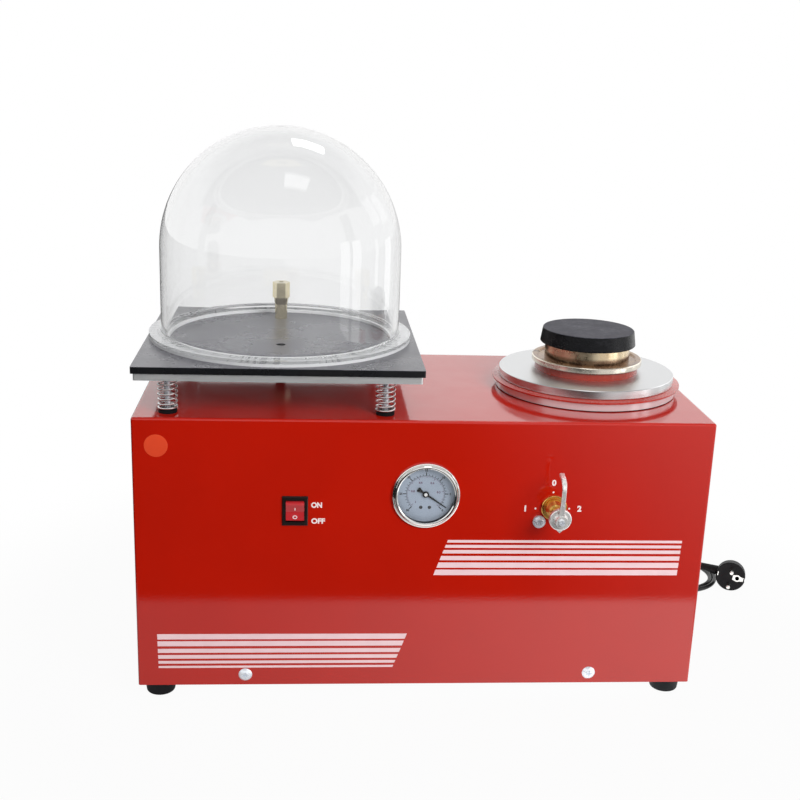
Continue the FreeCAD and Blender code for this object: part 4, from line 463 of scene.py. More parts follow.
def flask_steel():
    """Stainless flask, heat-tinted bronze and brown about its collar, silvery at the flange's edge."""
    f = Finish("heat_tinted_steel", (0.60, 0.50, 0.38, 1), 0.22, 1.0)
    from_axis = f.radius(CHAMBER)
    height = f.part("Z")
    cloud = f.noise(38.0, 5.0, 0.65)
    stain = f.noise(120.0, 4.0, 0.6, distortion=1.0)
    brown = f.mix(f.spread(cloud, 0, 1, 0.35, 0.65), (0.20, 0.12, 0.08, 1), (0.40, 0.28, 0.18, 1))
    bronze = f.mix(f.spread(stain, 0, 1, 0.55, 0.72), brown, (0.08, 0.05, 0.04, 1))
    gold = f.mix(f.spread(cloud, 0, 1, 0.3, 0.7), (0.66, 0.50, 0.30, 1), (0.80, 0.68, 0.48, 1))
    collar = f.mix(f.spread(height, 0, 1, *COLLAR_Z), bronze, gold)
    rim = f.mix(f.spread(from_axis, 0, 1, *FLANGE_RIM_R), collar, (0.78, 0.72, 0.62, 1))
    below = f.mix(f.spread(height, 0, 1, *FLANGE_FOOT_Z), (0.50, 0.48, 0.46, 1), rim)
    f.tree.links.new(below, f.shader.inputs["Base Color"])
    f.gloss(cloud, 0.16, 0.34)
    f.bump(f.rings(CHAMBER, 1800.0), 0.05, 0.0001)
    return f.material


def cap_rubber():
    """Black cap, painted greyer on top as a painted sheen, with dust and scuffs mostly there."""
    f = Finish("cap_rubber", srgb(27, 27, 31), 0.46, 0.0, {"Specular IOR Level": 0.16})
    top = f.spread(f.part("Z"), 0, 1, *CAP_TOP_Z)
    dust = f.spread(f.noise(48.0, 6.0, 0.7), 0, 1, 0.35, 0.72)
    scuffs = f.spread(f.noise(1.0, 5.0, 0.7, f.stretched((120, 620, 620))), 0, 1, 0.42, 0.7)
    share = f.math("ADD", f.math("MULTIPLY", top, 0.75), 0.08)
    both = f.math("MULTIPLY", f.math("MULTIPLY", dust, scuffs), share)
    # painted sheen: the top is painted grey where it faces the light, while the side stays near black
    body = f.mix(top, srgb(9, 10, 13), srgb(60, 59, 68))
    f.paint(both, body, srgb(122, 122, 132))
    dull = f.math("ADD", f.math("MULTIPLY", f.noise(60.0, 4.0), 0.3), f.math("MULTIPLY", top, 0.35))
    f.gloss(dull, 0.26, 0.58, 0.1, 0.6)
    f.bump(scuffs, 0.22, 0.0003)
    f.bump(f.noise(1100.0, 3.0), 0.15, 0.0001)
    return f.material


def dial_enamel():
    f = Finish("dial_enamel", srgb(162, 173, 188), 0.42, 0.2)
    f.tint(f.noise(60.0), 0.96, 1.03)
    f.bump(f.noise(1500.0), 0.04, 0.00005)
    return f.material


def lens_glass():
    f = Finish("lens_glass", (0.98, 0.99, 1.0, 1), 0.0, 0.0, {"Transmission Weight": 1.0, "IOR": 1.46})
    f.gloss(f.noise(90.0), 0.0, 0.02, 0.4, 0.8)
    return f.material


def printed(name, colour, rough=0.35):
    """Screen-printed ink or vinyl on the panel."""
    f = Finish(name, colour, rough, 0.0, {"Coat Weight": 0.3, "Coat Roughness": 0.12})
    f.tint(f.noise(45.0, 4.0), 0.96, 1.02)
    f.bump(f.noise(420.0, 1.5, 0.4), 0.08, 0.0002)
    return f.material


MATERIALS = {
    "red_paint": red_paint(),
    "zinc_sheet": zinc_sheet(),
    "black_rubber": rubber("black_rubber", srgb(13, 14, 17)),
    "mat_rubber": table_rubber(),
    "zinc_screw": plated("zinc_screw", (0.84, 0.88, 0.94, 1), (0.22, 0.36), metallic=0.6),
    "spring_steel": plated("spring_steel", (0.72, 0.72, 0.72, 1), (0.14, 0.26)),
    "grey_nylon": plastic("grey_nylon", srgb(52, 52, 54), (0.40, 0.52)),
    "plate_aluminium": brushed("plate_aluminium", (0.78, 0.79, 0.79, 1), (0.28, 0.42), (25, 25, 2600), 0.7),
    "ring_aluminium": turned("ring_aluminium", (0.84, 0.84, 0.86, 1), (0.14, 0.24), CHAMBER, metallic=0.65),
    "adapter_aluminium": adapter_aluminium(),
    "cast_aluminium": cast("cast_aluminium", (0.70, 0.71, 0.72, 1), (0.40, 0.55)),
    "brass": turned("turned_brass", (0.80, 0.50, 0.13, 1), (0.18, 0.32), VALVE, "Y", 1500.0, 0.12, 0.16),
    "pale_brass": plated("pale_brass", (0.78, 0.70, 0.50, 1), (0.16, 0.26), 90.0, 0.05, 0.01),
    "clear_acrylic": clear_acrylic(),
    "frosted_acrylic": frosted_acrylic(),
    "red_silicone": silicone("red_silicone", srgb(184, 40, 24)),
    "flask_silicone": silicone("flask_silicone", srgb(160, 42, 20)),
    "flask_steel": flask_steel(),
    "cap_rubber": cap_rubber(),
    "case_steel": gauge_case(),
    "bezel_steel": turned("polished_bezel", (0.80, 0.79, 0.77, 1), (0.06, 0.13), GAUGE, "Y", 2600.0,
                          0.03, 0.05),
    "lens_glass": lens_glass(),
    "dial_enamel": dial_enamel(),
    "needle_black": plastic("needle_black", srgb(5, 5, 6), (0.45, 0.60),
                            sockets={"Specular IOR Level": 0.2}),
    "lever_alloy": worn_chrome(),
    "switch_black": plastic("switch_black", srgb(24, 15, 14), (0.34, 0.46),
                            sockets={"Specular IOR Level": 0.3}),
    "rocker_red": plastic("rocker_red", srgb(198, 36, 44), (0.30, 0.42), 900.0, 0.05,
                          {"Subsurface Weight": 0.4, "Subsurface Radius": (0.003, 0.0008, 0.0008),
                           "Coat Weight": 0.15, "Coat Roughness": 0.15}),
    "cast_iron": cast("cast_iron_enamel", srgb(70, 84, 92), (0.38, 0.52), 420.0, 0.35, 0.0),
    "motor_steel": brushed("motor_steel", (0.56, 0.56, 0.57, 1), (0.24, 0.36), (30, 1500, 1500)),
    "vane_composite": plastic("vane_composite", srgb(62, 50, 40), (0.5, 0.62)),
    "motor_paint": cast("motor_enamel", srgb(40, 44, 48), (0.34, 0.48), 700.0, 0.18, 0.0),
    "fan_plastic": plastic("fan_plastic", srgb(34, 60, 110), (0.38, 0.5)),
    "hose_rubber": rubber("hose_rubber", srgb(30, 30, 31), (0.45, 0.6), 500.0),
    "cord_pvc": plastic("cord_pvc", srgb(13, 13, 16), (0.28, 0.40), 800.0, 0.06,
                        {"Specular IOR Level": 0.35}),
    "plug_pvc": plastic("plug_pvc", srgb(15, 15, 18), (0.42, 0.56), 1600.0, 0.22,
                        {"Specular IOR Level": 0.25}),
    "pin_nickel": plated("pin_nickel", (0.80, 0.79, 0.76, 1), (0.12, 0.24)),
}

# which CAD nodes wear each finish
WEARERS = {
    "red_paint": "cabinet_cover",
    "zinc_sheet": "base_pan gauge_clamp valve_bracket pump_cradle",
    "black_rubber": "rubber_feet spring_washers chamber_seal pump_mounts",
    "zinc_screw": "foot_screws cover_screws table_studs stud_nuts ring_screws panel_screw lever_screw",
    "spring_steel": "table_springs",
    "grey_nylon": "guide_bushes",
    "plate_aluminium": "table_plate",
    "mat_rubber": "table_mat",
    "pale_brass": "vacuum_fitting gauge_fitting valve_body valve_plug",
    "clear_acrylic": "bell_jar_dome",
    "frosted_acrylic": "bell_jar_ring",
    "ring_aluminium": "chamber_ring",
    "cast_aluminium": "chamber_tub",
    "red_silicone": "chamber_gasket",
    "adapter_aluminium": "adapter_plate",
    "flask_silicone": "flask_gasket",
    "flask_steel": "flask",
    "cap_rubber": "rubber_cap",
    "case_steel": "gauge_case",
    "bezel_steel": "gauge_bezel",
    "lens_glass": "gauge_lens",
    "dial_enamel": "gauge_dial",
    "needle_black": "gauge_needle",
    "brass": "valve_flange",
    "lever_alloy": "valve_lever",
    "switch_black": "switch_housing",
    "rocker_red": "rocker",
    "cast_iron": "pump_block pump_cover",
    "motor_steel": "pump_rotor motor_shaft",
    "vane_composite": "pump_vanes",
    "motor_paint": "motor_case fan_cover",
    "fan_plastic": "motor_fan",
    "hose_rubber": "pump_hose table_hose chamber_hose gauge_hose",
    "cord_pvc": "inner_leads power_cord cord_coil",
    "plug_pvc": "cord_gland plug_body",
    "pin_nickel": "plug_pins",
}


def dress(obj, material):
    if not obj.material_slots:
        obj.data.materials.append(material)
    for slot in obj.material_slots:
        slot.material = material


for finish_name, node_names in WEARERS.items():
    for node_name in node_names.split():
        dress(NODES[node_name], MATERIALS[finish_name])


# ---- mains lead
CORD_D = 0.0055
CORD_STEP = 22.5
COIL_X, COIL_Y = 360.5, 304.5
WIDE_X = 367.0


def turning_points():
    """The put-away coil and the two wide loose turns round it, as one run of points."""
    # angle in degrees, centre x, radius and height of the lead's axis
    stations = [
        (196.0, COIL_X, 32.6, 8.0), (240.0, COIL_X, 30.6, 7.6), (466.0, COIL_X, 30.5, 7.5),
        (528.0, COIL_X, 27.8, 2.9), (755.0, COIL_X, 27.7, 2.8), (822.0, COIL_X, 34.0, 2.8),
        (892.0, COIL_X, 34.0, 2.8), (925.0, COIL_X, 33.3, 2.8), (1090.0, COIL_X, 33.4, 2.8),
        (1185.0, 362.5, 40.5, 2.8), (1260.0, WIDE_X, 46.0, 2.8), (1500.0, WIDE_X, 45.8, 2.8),
        (1590.0, WIDE_X, 51.6, 2.8), (1840.0, WIDE_X, 51.3, 2.8), (1868.0, WIDE_X, 52.2, 3.2),
    ]
    # a quadratic spline runs inside its control points by this share on a circle
    inside = (6 + 2 * math.cos(math.radians(CORD_STEP))) / 8
    points = []
    angle = stations[0][0]
    while angle <= stations[-1][0] + 0.01:
        for low, high in zip(stations, stations[1:]):
            if low[0] <= angle <= high[0] + 1e-6:
                t = (angle - low[0]) / (high[0] - low[0])
                t = t * t * (3 - 2 * t)
                centre, radius, height = (low[k] + (high[k] - low[k]) * t for k in (1, 2, 3))
                break
        turn = math.radians(angle)
        radius /= inside
        points.append(at(centre + radius * math.cos(turn), COIL_Y + radius * math.sin(turn), height))
        angle += CORD_STEP
    return points


def make_cord():
    """The lead, from the gland down to the bench, through the coil and up into the plug's sleeve."""
    to_coil = [
        (GLAND_X, 306, GLAND_Z), (GLAND_X, 332, 51), (243, 355, 43), (261, 370, 31), (284, 372, 19),
        (303, 360, 11.5), (315, 342, 10.2), (323, 324, 9.4), (328, 308, 8.0),
    ]
    to_plug = [
        (377, 356.5, 6.4), (364.5, 343, 12.5), (360.5, 325, 18), (365.2, 307, 21.5), (376.5, 295.6, 23.6),
        (392.8, 289.1, 21.7), (396.5, 287.6, 21.2),
    ]
    points = [at(*p) for p in to_coil] + turning_points() + [at(*p) for p in to_plug]
    curve = bpy.data.curves.new("mains_lead", "CURVE")
    curve.dimensions = "3D"
    spline = curve.splines.new("NURBS")
    spline.points.add(len(points) - 1)
    for place, point in zip(spline.points, points):
        place.co = (*point, 1.0)
    spline.order_u = 3
    spline.use_endpoint_u = True
    spline.resolution_u = 8
    curve.bevel_depth = CORD_D / 2
    curve.bevel_resolution = 5
    curve.use_fill_caps = True
    curve.materials.append(MATERIALS["cord_pvc"])
    lead = bpy.data.objects.new("mains_lead", curve)
    scene.collection.objects.link(lead)
    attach(lead, "cabinet")
    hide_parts("power_cord", "cord_coil")
    return lead


def make_coil_tie():
    """Strap round the three bundled strands of the put-away coil, with its loose tail."""
    # distance from the coil's middle and height of each strand's axis
    strands = [(27.75, 2.8), (33.3, 2.8), (30.5, 7.55)]
    # reach beyond those axes and shift along them, round the strap's section
    section = [(2.9, -3.8), (3.75, -4.0), (4.0, -3.6), (4.0, 3.6), (3.75, 4.0), (2.9, 3.8)]
    half_w, thick = 3.4, Vector((0, 0, 0.9 * MM))
    turn = math.radians(-62.0)
    out = Vector((math.cos(turn), math.sin(turn), 0))
    along = Vector((-out.y, out.x, 0))
    centre = at(COIL_X, COIL_Y, 0)

    def loop(reach, shift):
        row = []
        for i in range(48):
            a = 2 * math.pi * i / 48
            r, z = max(strands, key=lambda s: s[0] * math.cos(a) + s[1] * math.sin(a))
            r += reach * math.cos(a)
            z = max(z + reach * math.sin(a), 0.05)
            row.append(centre + out * (r * MM) + Vector((0, 0, z * MM)) + along * (shift * MM))
        return row

    bm = bmesh.new()
    grid_faces(bm, [loop(reach, shift) for reach, shift in section], closed_rows=True)
    tail = []
    for i in range(9):
        t = i / 8
        height = 8.4 + 3.2 * t - 3.0 * t * t
        reach = 34.2 - 13.0 * t
        base = centre + out * (reach * MM) + Vector((0, 0, (height + 3.1) * MM))
        left, right = base - along * (half_w * MM), base + along * (half_w * MM)
        tail.append([left, right, right + thick, left + thick])
    capped_grid(bm, tail)
    tie = add_object("coil_tie", mesh_from(bm, "coil_tie"), MATERIALS["hose_rubber"], sharp=50.0)
    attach(tie, "cabinet")
    return tie


def make_strain_relief():
    """Bush in the rear panel, with ribs that get thinner towards the lead."""
    profile = [(2.9, -11.5), (6.9, -11.5), (6.9, 0), (9.0, 0), (9.5, 0.6), (9.5, 3.2), (8.9, 4.0), (7.2, 4.2)]
    ribs, pitch, rib_depth = 8, 3.75, 1.3
    for i in range(ribs):
        low = 5.0 + i * pitch
        big = 7.0 - 2.1 * (i / ribs)
        core = big - rib_depth
        profile += [(core, low), (core, low + 1.0), (big, low + 1.25), (big - 0.12, low + 3.3),
                    (core - 0.1, low + 3.6)]
    profile += [(4.0, 35.2), (4.3, 35.6), (3.9, 36.0), (2.9, 36.0)]
    bm = bmesh.new()
    lathe(bm, profile + [profile[0]], at(GLAND_X, CABINET_D, GLAND_Z), (0, 1, 0), 64)
    bush = add_object("strain_relief", mesh_from(bm, "strain_relief"), MATERIALS["plug_pvc"])
    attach(bush, "cabinet")
    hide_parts("cord_gland")
    return bush


lead = make_cord()
tie = make_coil_tie()
relief = make_strain_relief()


# ---- flat print and marks
# thickness of all print, and how much heavier than the plain font the panel's letters are
PRINT_T = 0.06
PANEL_WEIGHT = 0.045


def outline_prism(bm, outline, face_y):
    """Flat shape given as (x, z) in mm on a face that looks forwards at face_y."""
    front = [bm.verts.new(at(x, face_y - PRINT_T, z)) for x, z in outline]
    back = [bm.verts.new(at(x, face_y, z)) for x, z in outline]
    bm.faces.new(front)
    for i in range(len(outline)):
        j = (i + 1) % len(outline)
        bm.faces.new((front[i], front[j], back[j], back[i]))


def oval(x, z, half_w, half_h, count=32):
    turns = [2 * math.pi * i / count for i in range(count)]
    return [(x + half_w * math.cos(a), z + half_h * math.sin(a)) for a in turns]


def add_text(bm, words, x, z, cap_height, face_y, weight, narrow=1.0):
    """Lettering centred on (x, z), cap_height tall, standing proud of face_y."""
    curve = bpy.data.curves.new("lettering", "FONT")
    curve.body = words
    curve.align_x = "CENTER"
    curve.align_y = "CENTER"
    curve.size = 1.0
    curve.offset = weight
    curve.resolution_u = 6
    holder = bpy.data.objects.new("lettering", curve)
    scene.collection.objects.link(holder)
    graph = bpy.context.evaluated_depsgraph_get()
    mesh = bpy.data.meshes.new_from_object(holder.evaluated_get(graph))
    (low_x, high_x), (low_y, high_y) = ((min(v.co[k] for v in mesh.vertices),
                                         max(v.co[k] for v in mesh.vertices)) for k in (0, 1))
    scale = cap_height / (high_y - low_y)
    flat = bmesh.new()
    flat.from_mesh(mesh)
    bmesh.ops.remove_doubles(flat, verts=flat.verts, dist=1e-5)
    for v in flat.verts:
        v.co = at(x + (v.co.x - (low_x + high_x) / 2) * scale * narrow, face_y,
                  z + (v.co.y - (low_y + high_y) / 2) * scale)
    raised = bmesh.ops.extrude_face_region(flat, geom=flat.faces[:])
    moved = [g for g in raised["geom"] if isinstance(g, bmesh.types.BMVert)]
    bmesh.ops.translate(flat, verts=moved, vec=Vector((0, -PRINT_T * MM, 0)))
    done = bpy.data.meshes.new("lettering")
    flat.to_mesh(done)
    flat.free()
    bm.from_mesh(done)
    bpy.data.objects.remove(holder)
    bpy.data.curves.remove(curve)
    bpy.data.meshes.remove(mesh)
    bpy.data.meshes.remove(done)


def placed(bm, name, material, body, smooth=False, sharp=35.0):
    obj = add_object(name, mesh_from(bm, name), material, smooth, sharp)
    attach(obj, body)
    return obj


STRIPE_INK = printed("stripe_ink", srgb(255, 220, 224))
LETTER_INK = printed("letter_ink", srgb(255, 240, 240))
BLACK_INK = printed("dial_black", srgb(12, 14, 20), 0.5)
RED_INK = printed("dial_red", srgb(98, 66, 90), 0.5)
STICKER_INK = printed("orange_sticker", srgb(236, 72, 30), 0.4)


def make_stripes():
    bm = bmesh.new()
    # for each set: its top, x at the top and slope of its left and right ends, and each stripe's edges
    sets = (
        (178.5, (23.9, -0.346), (266.6, -0.05),
         ((178.5, 175.7), (173.2, 170.0), (167.6, 163.8), (161.0, 156.3), (153.8, 148.0), (145.9, 139.8))),
        (73.9, (-269.6, 0.02), (-14.1, -0.362),
         ((73.9, 67.9), (65.8, 60.2), (57.3, 52.7), (50.2, 46.1), (43.5, 40.4), (37.8, 35.4))),
    )
    for top, left, right, bands in sets:
        for high, low in bands:
            corners = ((left, high), (left, low), (right, low), (right, high))
            outline_prism(bm, [(x + (top - z) * slope, z) for (x, slope), z in corners], 0)
    placed(bm, "panel_stripes", STRIPE_INK, "cabinet")


def make_lettering():
    """The switch's two words, and figure and dot at each of the valve's three positions."""
    word_h, figure_h, dot_r = 6.0, 6.6, 1.0
    bm = bmesh.new()
    add_text(bm, "ON", -109.4, 215.6, word_h, 0, PANEL_WEIGHT, 0.90)
    add_text(bm, "OFF", -107.7, 198.5, word_h, 0, PANEL_WEIGHT, 1.02)
    for words, x, z in (("1", 101.0, 213.2), ("0", 128.7, 240.9), ("2", 156.5, 213.2)):
        add_text(bm, words, x, z, figure_h, 0, PANEL_WEIGHT)
    for x, z in ((128.7, 230.7), (111.3, 213.2), (146.0, 213.2)):
        outline_prism(bm, oval(x, z, dot_r, dot_r, 20), 0)
    placed(bm, "panel_lettering", LETTER_INK, "cabinet")


def make_sticker():
    bm = bmesh.new()
    lathe(bm, [(0.0, 0.16), (10.9, 0.16), (11.4, 0.10), (11.5, 0.0)], at(-266.3, 0, 276.3), (0, -1, 0), 64)
    placed(bm, "round_sticker", STICKER_INK, "cabinet", smooth=True)


def on_dial(radius, degrees):
    a = math.radians(degrees)
    return GAUGE_X + radius * math.cos(a), GAUGE_Z + radius * math.sin(a)


def tick(bm, degrees, inner, outer, width):
    a = math.radians(degrees)
    c, s = math.cos(a), math.sin(a)
    w = width / 2
    corners = ((inner, w), (inner, -w), (outer, -w), (outer, w))
    outline = [(GAUGE_X + r * c - side * s, GAUGE_Z + r * s + side * c) for r, side in corners]
    outline_prism(bm, outline, DIAL_FACE_Y)


def dial_arc(bm, inner, outer, start, end):
    """Part of a flat ring on the dial, from start to end in degrees."""
    steps = 72
    front = DIAL_FACE_Y - PRINT_T
    section = ((inner, DIAL_FACE_Y), (inner, front), (outer, front), (outer, DIAL_FACE_Y))
    rows = []
    for i in range(steps + 1):
        a = math.radians(start + (end - start) * i / steps)
        c, s = math.cos(a), math.sin(a)
        rows.append([at(GAUGE_X + r * c, y, GAUGE_Z + r * s) for r, y in section])
    capped_grid(bm, rows, closed_columns=False)


def make_dial_print():
    """Two scales round the dial, the dial's screws and the cap over the needle's hub."""
    start, end, units = 225, -45, 30
    step = (start - end) / units
    # the inner scale's tenths, in units of the outer one, and how many tenths it runs over
    tenth_units, tenths = 2.953, 10
    black, red, screws, hub = (bmesh.new() for _ in range(4))
    dial_arc(black, 19.2, 19.55, end, start)
    dial_arc(red, 18.3, 18.55, end, start)
    for unit in range(units + 1):
        degrees = start - step * unit
        if unit % 5:
            tick(black, degrees, 19.4, 21.2, 0.45)
        else:
            tick(black, degrees, 19.4, 22.9, 0.95)
            add_text(black, str(units - unit), *on_dial(24.9, degrees), 2.5, DIAL_FACE_Y, 0.05)
    for tenth in range(tenths + 1):
        degrees = start - step * (units - tenth_units * tenth)
        if tenth % 2:
            tick(red, degrees, 17.2, 18.4, 0.3)
            continue
        tick(red, degrees, 16.2, 18.4, 0.5)
        if tenth:
            words = "1" if tenth == tenths else "0." + str(tenth)
            add_text(red, words, *on_dial(13.2, degrees), 2.4, DIAL_FACE_Y, 0.04)
    placed(black, "dial_black_scale", BLACK_INK, "cabinet")
    placed(red, "dial_red_scale", RED_INK, "cabinet")
    for side in (-4.4, 4.4):
        profile = [(0.0, 0.6), (1.1, 0.55), (1.6, 0.35), (1.8, 0.0)]
        lathe(screws, profile, at(GAUGE_X + side, DIAL_FACE_Y, GAUGE_Z - 14.4), (0, -1, 0), 24)
    placed(screws, "dial_screws", MATERIALS["grey_nylon"], "cabinet", smooth=True)
    profile = [(0.0, 0.9), (0.9, 0.85), (1.7, 0.55), (2.0, 0.0)]
    lathe(hub, profile, at(GAUGE_X, DIAL_FACE_Y - 2.4, GAUGE_Z), (0, -1, 0), 40)
    placed(hub, "pointer_hub_cap", MATERIALS["bezel_steel"], "pointer", smooth=True)


def make_rocker_marks():
    """I and O on the rocker's two faces, in the places that its rest tilt gives them."""
    middle = Vector((ROCKER_X, 0, ROCKER_Z))
    # the rocker's valley and the far ends of its two faces, from its middle
    valley, high, low = Vector((0, -1.530, -0.799)), Vector((0, -5.03, 7.52)), Vector((0, -1.97, -9.81))
    proud = 0.05
    bm = bmesh.new()

    def on_face(outline, end, share):
        """The outline on the face from the valley to end, and again a little proud of it."""
        rise = end - valley
        centre = middle + valley + rise * share
        up = rise.normalized() * (1 if rise.z > 0 else -1)
        out = Vector((1, 0, 0)).cross(up).normalized()
        rows = [[at(*(centre + Vector((u, 0, 0)) + up * v + out * lift)) for u, v in outline]
                for lift in (0.0, proud)]
        return grid_faces(bm, rows)

    bar = on_face([(-0.45, -1.7), (0.45, -1.7), (0.45, 1.7), (-0.45, 1.7)], high, 0.42)
    bm.faces.new(bar[1])
    outer = on_face(oval(0, 0, 2.3, 1.9), low, 0.62)[1]
    inner = on_face(oval(0, 0, 1.5, 1.15), low, 0.62)[1]
    for i in range(len(outer)):
        j = (i + 1) % len(outer)
        bm.faces.new((outer[i], outer[j], inner[j], inner[i]))
    placed(bm, "rocker_marks", LETTER_INK, "switch_rocker")


make_stripes()
make_lettering()
make_sticker()
make_dial_print()
make_rocker_marks()


# ---- screws with a cross recess
def cross_screw(bm, base, out):
    """Low domed head with a cross recess sunk in its middle, and its shank."""
    radius, height, flat_top = 7.0, 3.2, 0.25
    # the recess: half length and half width of its arms, depth, and width of its sloping walls
    arm, half, depth, wall = 3.3, 0.62, 1.9, 0.28
    shank_r, shank_l = 2.0, 9.9
    rings, segments = 30, 96
    out = Vector(out)
    u, v = axis_frame(out)
    dome_r = (radius * radius + height * height) / (2 * height)
    rows = []
    for i in range(1, rings + 1):
        r = radius * (i / rings)
        row = []
        for j in range(segments):
            a = 2 * math.pi * j / segments
            x, y = r * math.cos(a), r * math.sin(a)
            lift = min(math.sqrt(dome_r * dome_r - r * r) - (dome_r - height), height - flat_top)
            near = min(max(abs(x) - half, abs(y) - arm), max(abs(y) - half, abs(x) - arm))
            sink = min(max(-near / wall, 0.0), 1.0)
            slope = 1 - 0.75 * min(math.hypot(x, y) / arm, 1.0) ** 2
            row.append(base + (u * x + v * y) * MM + out * ((lift - depth * sink * slope) * MM))
        rows.append(row)
    made = grid_faces(bm, rows)
    bm.faces.new(made[0])
    lathe(bm, [(shank_r, 0.0), (shank_r, -shank_l), (shank_r - 0.5, -shank_l - 0.01)], base, out, 24)


def make_cover_screws():
    screw_x, screw_z = 180.4, 27.5
    bm = bmesh.new()
    for x in (-screw_x, screw_x):
        cross_screw(bm, at(x, 0, screw_z), (0, -1, 0))
        cross_screw(bm, at(x, CABINET_D, screw_z), (0, 1, 0))
    obj = placed(bm, "cover_screws_cross", MATERIALS["zinc_screw"], "cabinet",
                 smooth=True, sharp=30.0)
    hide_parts("cover_screws")


make_cover_screws()


# ---- springs, and a second copy of the table's hose
def make_springs():
    """Four coiled wires, closed for one turn at each end and open between."""
    spring_r, wire_r, foot, length, end_rise = 9.05, 0.95, 307.5, 35.7, 1.995
    stud_x, stud_y = 107.1, 111.4
    open_rise = length - 2 * wire_r - 2 * end_rise
    turns, steps = 6, 28
    bm = bmesh.new()
    for sx in (-stud_x, stud_x):
        for sy in (-stud_y, stud_y):
            points = []
            for i in range((turns + 2) * steps + 1):
                turn = i / steps
                rise = end_rise * min(turn, 1) + end_rise * max(turn - 1 - turns, 0)
                rise += open_rise * min(max(turn - 1, 0), turns) / turns
                a = 2 * math.pi * turn
                points.append(at(TABLE_X + sx + spring_r * math.cos(a), TABLE_Y + sy + spring_r * math.sin(a),
                                 foot + wire_r + rise))
            tube(bm, points, wire_r * MM)
    obj = add_object("spring_coils", mesh_from(bm, "spring_coils"), MATERIALS["spring_steel"], sharp=60.0)
    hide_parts("table_springs")
    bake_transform(obj)


def make_table_hose():
    """The CAD's hose once more, made from a copy of its mesh."""
    obj = bpy.data.objects.new("table_hose_bending", NODES["table_hose"].data.copy())
    scene.collection.objects.link(obj)
    obj.data.materials.clear()
    obj.data.materials.append(MATERIALS["hose_rubber"])
    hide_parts("table_hose")
    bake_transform(obj)


make_springs()
make_table_hose()


# ---- plug details
def plug_point(x, y, z):
    """Point in the plug's own frame: x along the pins, y to the earth hole, z back from its face."""
    face = at(426, 260, 18.6)
    turn, tilt, roll = math.radians(22.0), math.radians(8.0), math.radians(7.0)
    back = Vector((math.sin(turn) * math.cos(tilt), math.cos(turn) * math.cos(tilt), -math.sin(tilt)))
    level = Vector((0, 0, 1)).cross(back).normalized()
    up = back.cross(level)
    pins = up * math.cos(roll) - level * math.sin(roll)
    earth = level * -math.cos(roll) - up * math.sin(roll)
    return face + (pins * x + earth * y + back * z) * MM


def make_earth_contact():
    """Plated plate round the earth hole, running out to the contact in the plug's rim."""
    hole_y, hole_r, thick, count = 8.6, 2.65, 0.35, 32
    # half width of the plate and of its tongue, then its reach towards the rim and towards the middle
    half_w, tongue, to_rim, to_middle = 4.4, 2.4, 7.0, 5.6

    def edge(i):
        a = 2 * math.pi * i / count
        c, s = math.cos(a), math.sin(a)
        if s > 0.72:
            return max(min(half_w * c, tongue), -tongue), hole_y + to_rim
        if s < -0.6:
            return half_w * c, hole_y - to_middle
        return half_w * c, hole_y + half_w * s

    outer = [edge(i) for i in range(count)]
    hole = oval(0, hole_y, hole_r, hole_r, count)
    sides = ((outer, 0.0), (outer, -thick), (hole, -thick), (hole, 0.0))
    bm = bmesh.new()
    grid_faces(bm, [[plug_point(x, y, z) for x, y in outline] for outline, z in sides])
    return placed(bm, "earth_contact_plate", MATERIALS["pin_nickel"], "cabinet",
                  smooth=True, sharp=30.0)


contact = make_earth_contact()


# ---- floor, world and lamps
def make_floor():
    """Pale floor that takes the object's shadow. It fades out to white for the eye and for what is seen
    through the jar. Mirrors see it end a little way off, brighter towards the right."""
    floor_r = 25000.0
    bm = bmesh.new()
    bm.faces.new([bm.verts.new(at(x, y, 0)) for x, y in oval(0, 0, floor_r, floor_r, 96)])
    f = Finish("studio_floor", (0.50, 0.50, 0.50, 1), 1.0, 0.0, {"Specular IOR Level": 0.0})
    f.bump(f.noise(60.0), 0.02, 0.0002)
    path = f.add("ShaderNodeLightPath").outputs
    seen = f.math("MAXIMUM", path["Is Camera Ray"], path["Is Transmission Ray"])
    share = f.math("MULTIPLY", seen, f.spread(f.radius((0, 0, 0)), 0.955, 1.0, 0.40, 0.70))
    white = f.add("ShaderNodeEmission", None, {"Color": (1, 1, 1, 1), "Strength": 1.0}).outputs[0]
    right = f.part("X")
    near = f.math("MULTIPLY", f.spread(right, 0.66, 2.1, -0.30, 0.50),
                  f.spread(right, 1.0, 0.45, 0.36, 0.42))
    far = f.spread(right, 0.02, 0.85, 0.10, 0.75)
    out_x = f.math("SUBTRACT", f.math("ABSOLUTE", right), CABINET_HALF_W * MM)
    out_y = f.math("SUBTRACT", f.math("ABSOLUTE", f.part("Y")), CABINET_D / 2 * MM)
    edge = f.spread(f.math("MAXIMUM", out_x, out_y), 0, 1, 0.20, 0.225)
    table = f.add("ShaderNodeMix", None, {0: edge, 2: near, 3: far}).outputs[0]
    mirrored = f.add("ShaderNodeEmission", None, {"Color": (1, 1, 1, 1), "Strength": table}).outputs[0]
    plain = f.add("ShaderNodeMixShader", None, {0: share, 1: f.shader.outputs[0], 2: white}).outputs[0]
    mirror = f.math("MULTIPLY", path["Is Glossy Ray"], f.math("SUBTRACT", 1.0, path["Is Transmission Ray"]))
    both = f.add("ShaderNodeMixShader", None, {0: mirror, 1: plain, 2: mirrored}).outputs[0]
    f.tree.links.new(both, f.tree.nodes["Material Output"].inputs["Surface"])
    floor = add_object("studio_floor", mesh_from(bm, "studio_floor"), f.material)
    floor.location.z = -0.0002


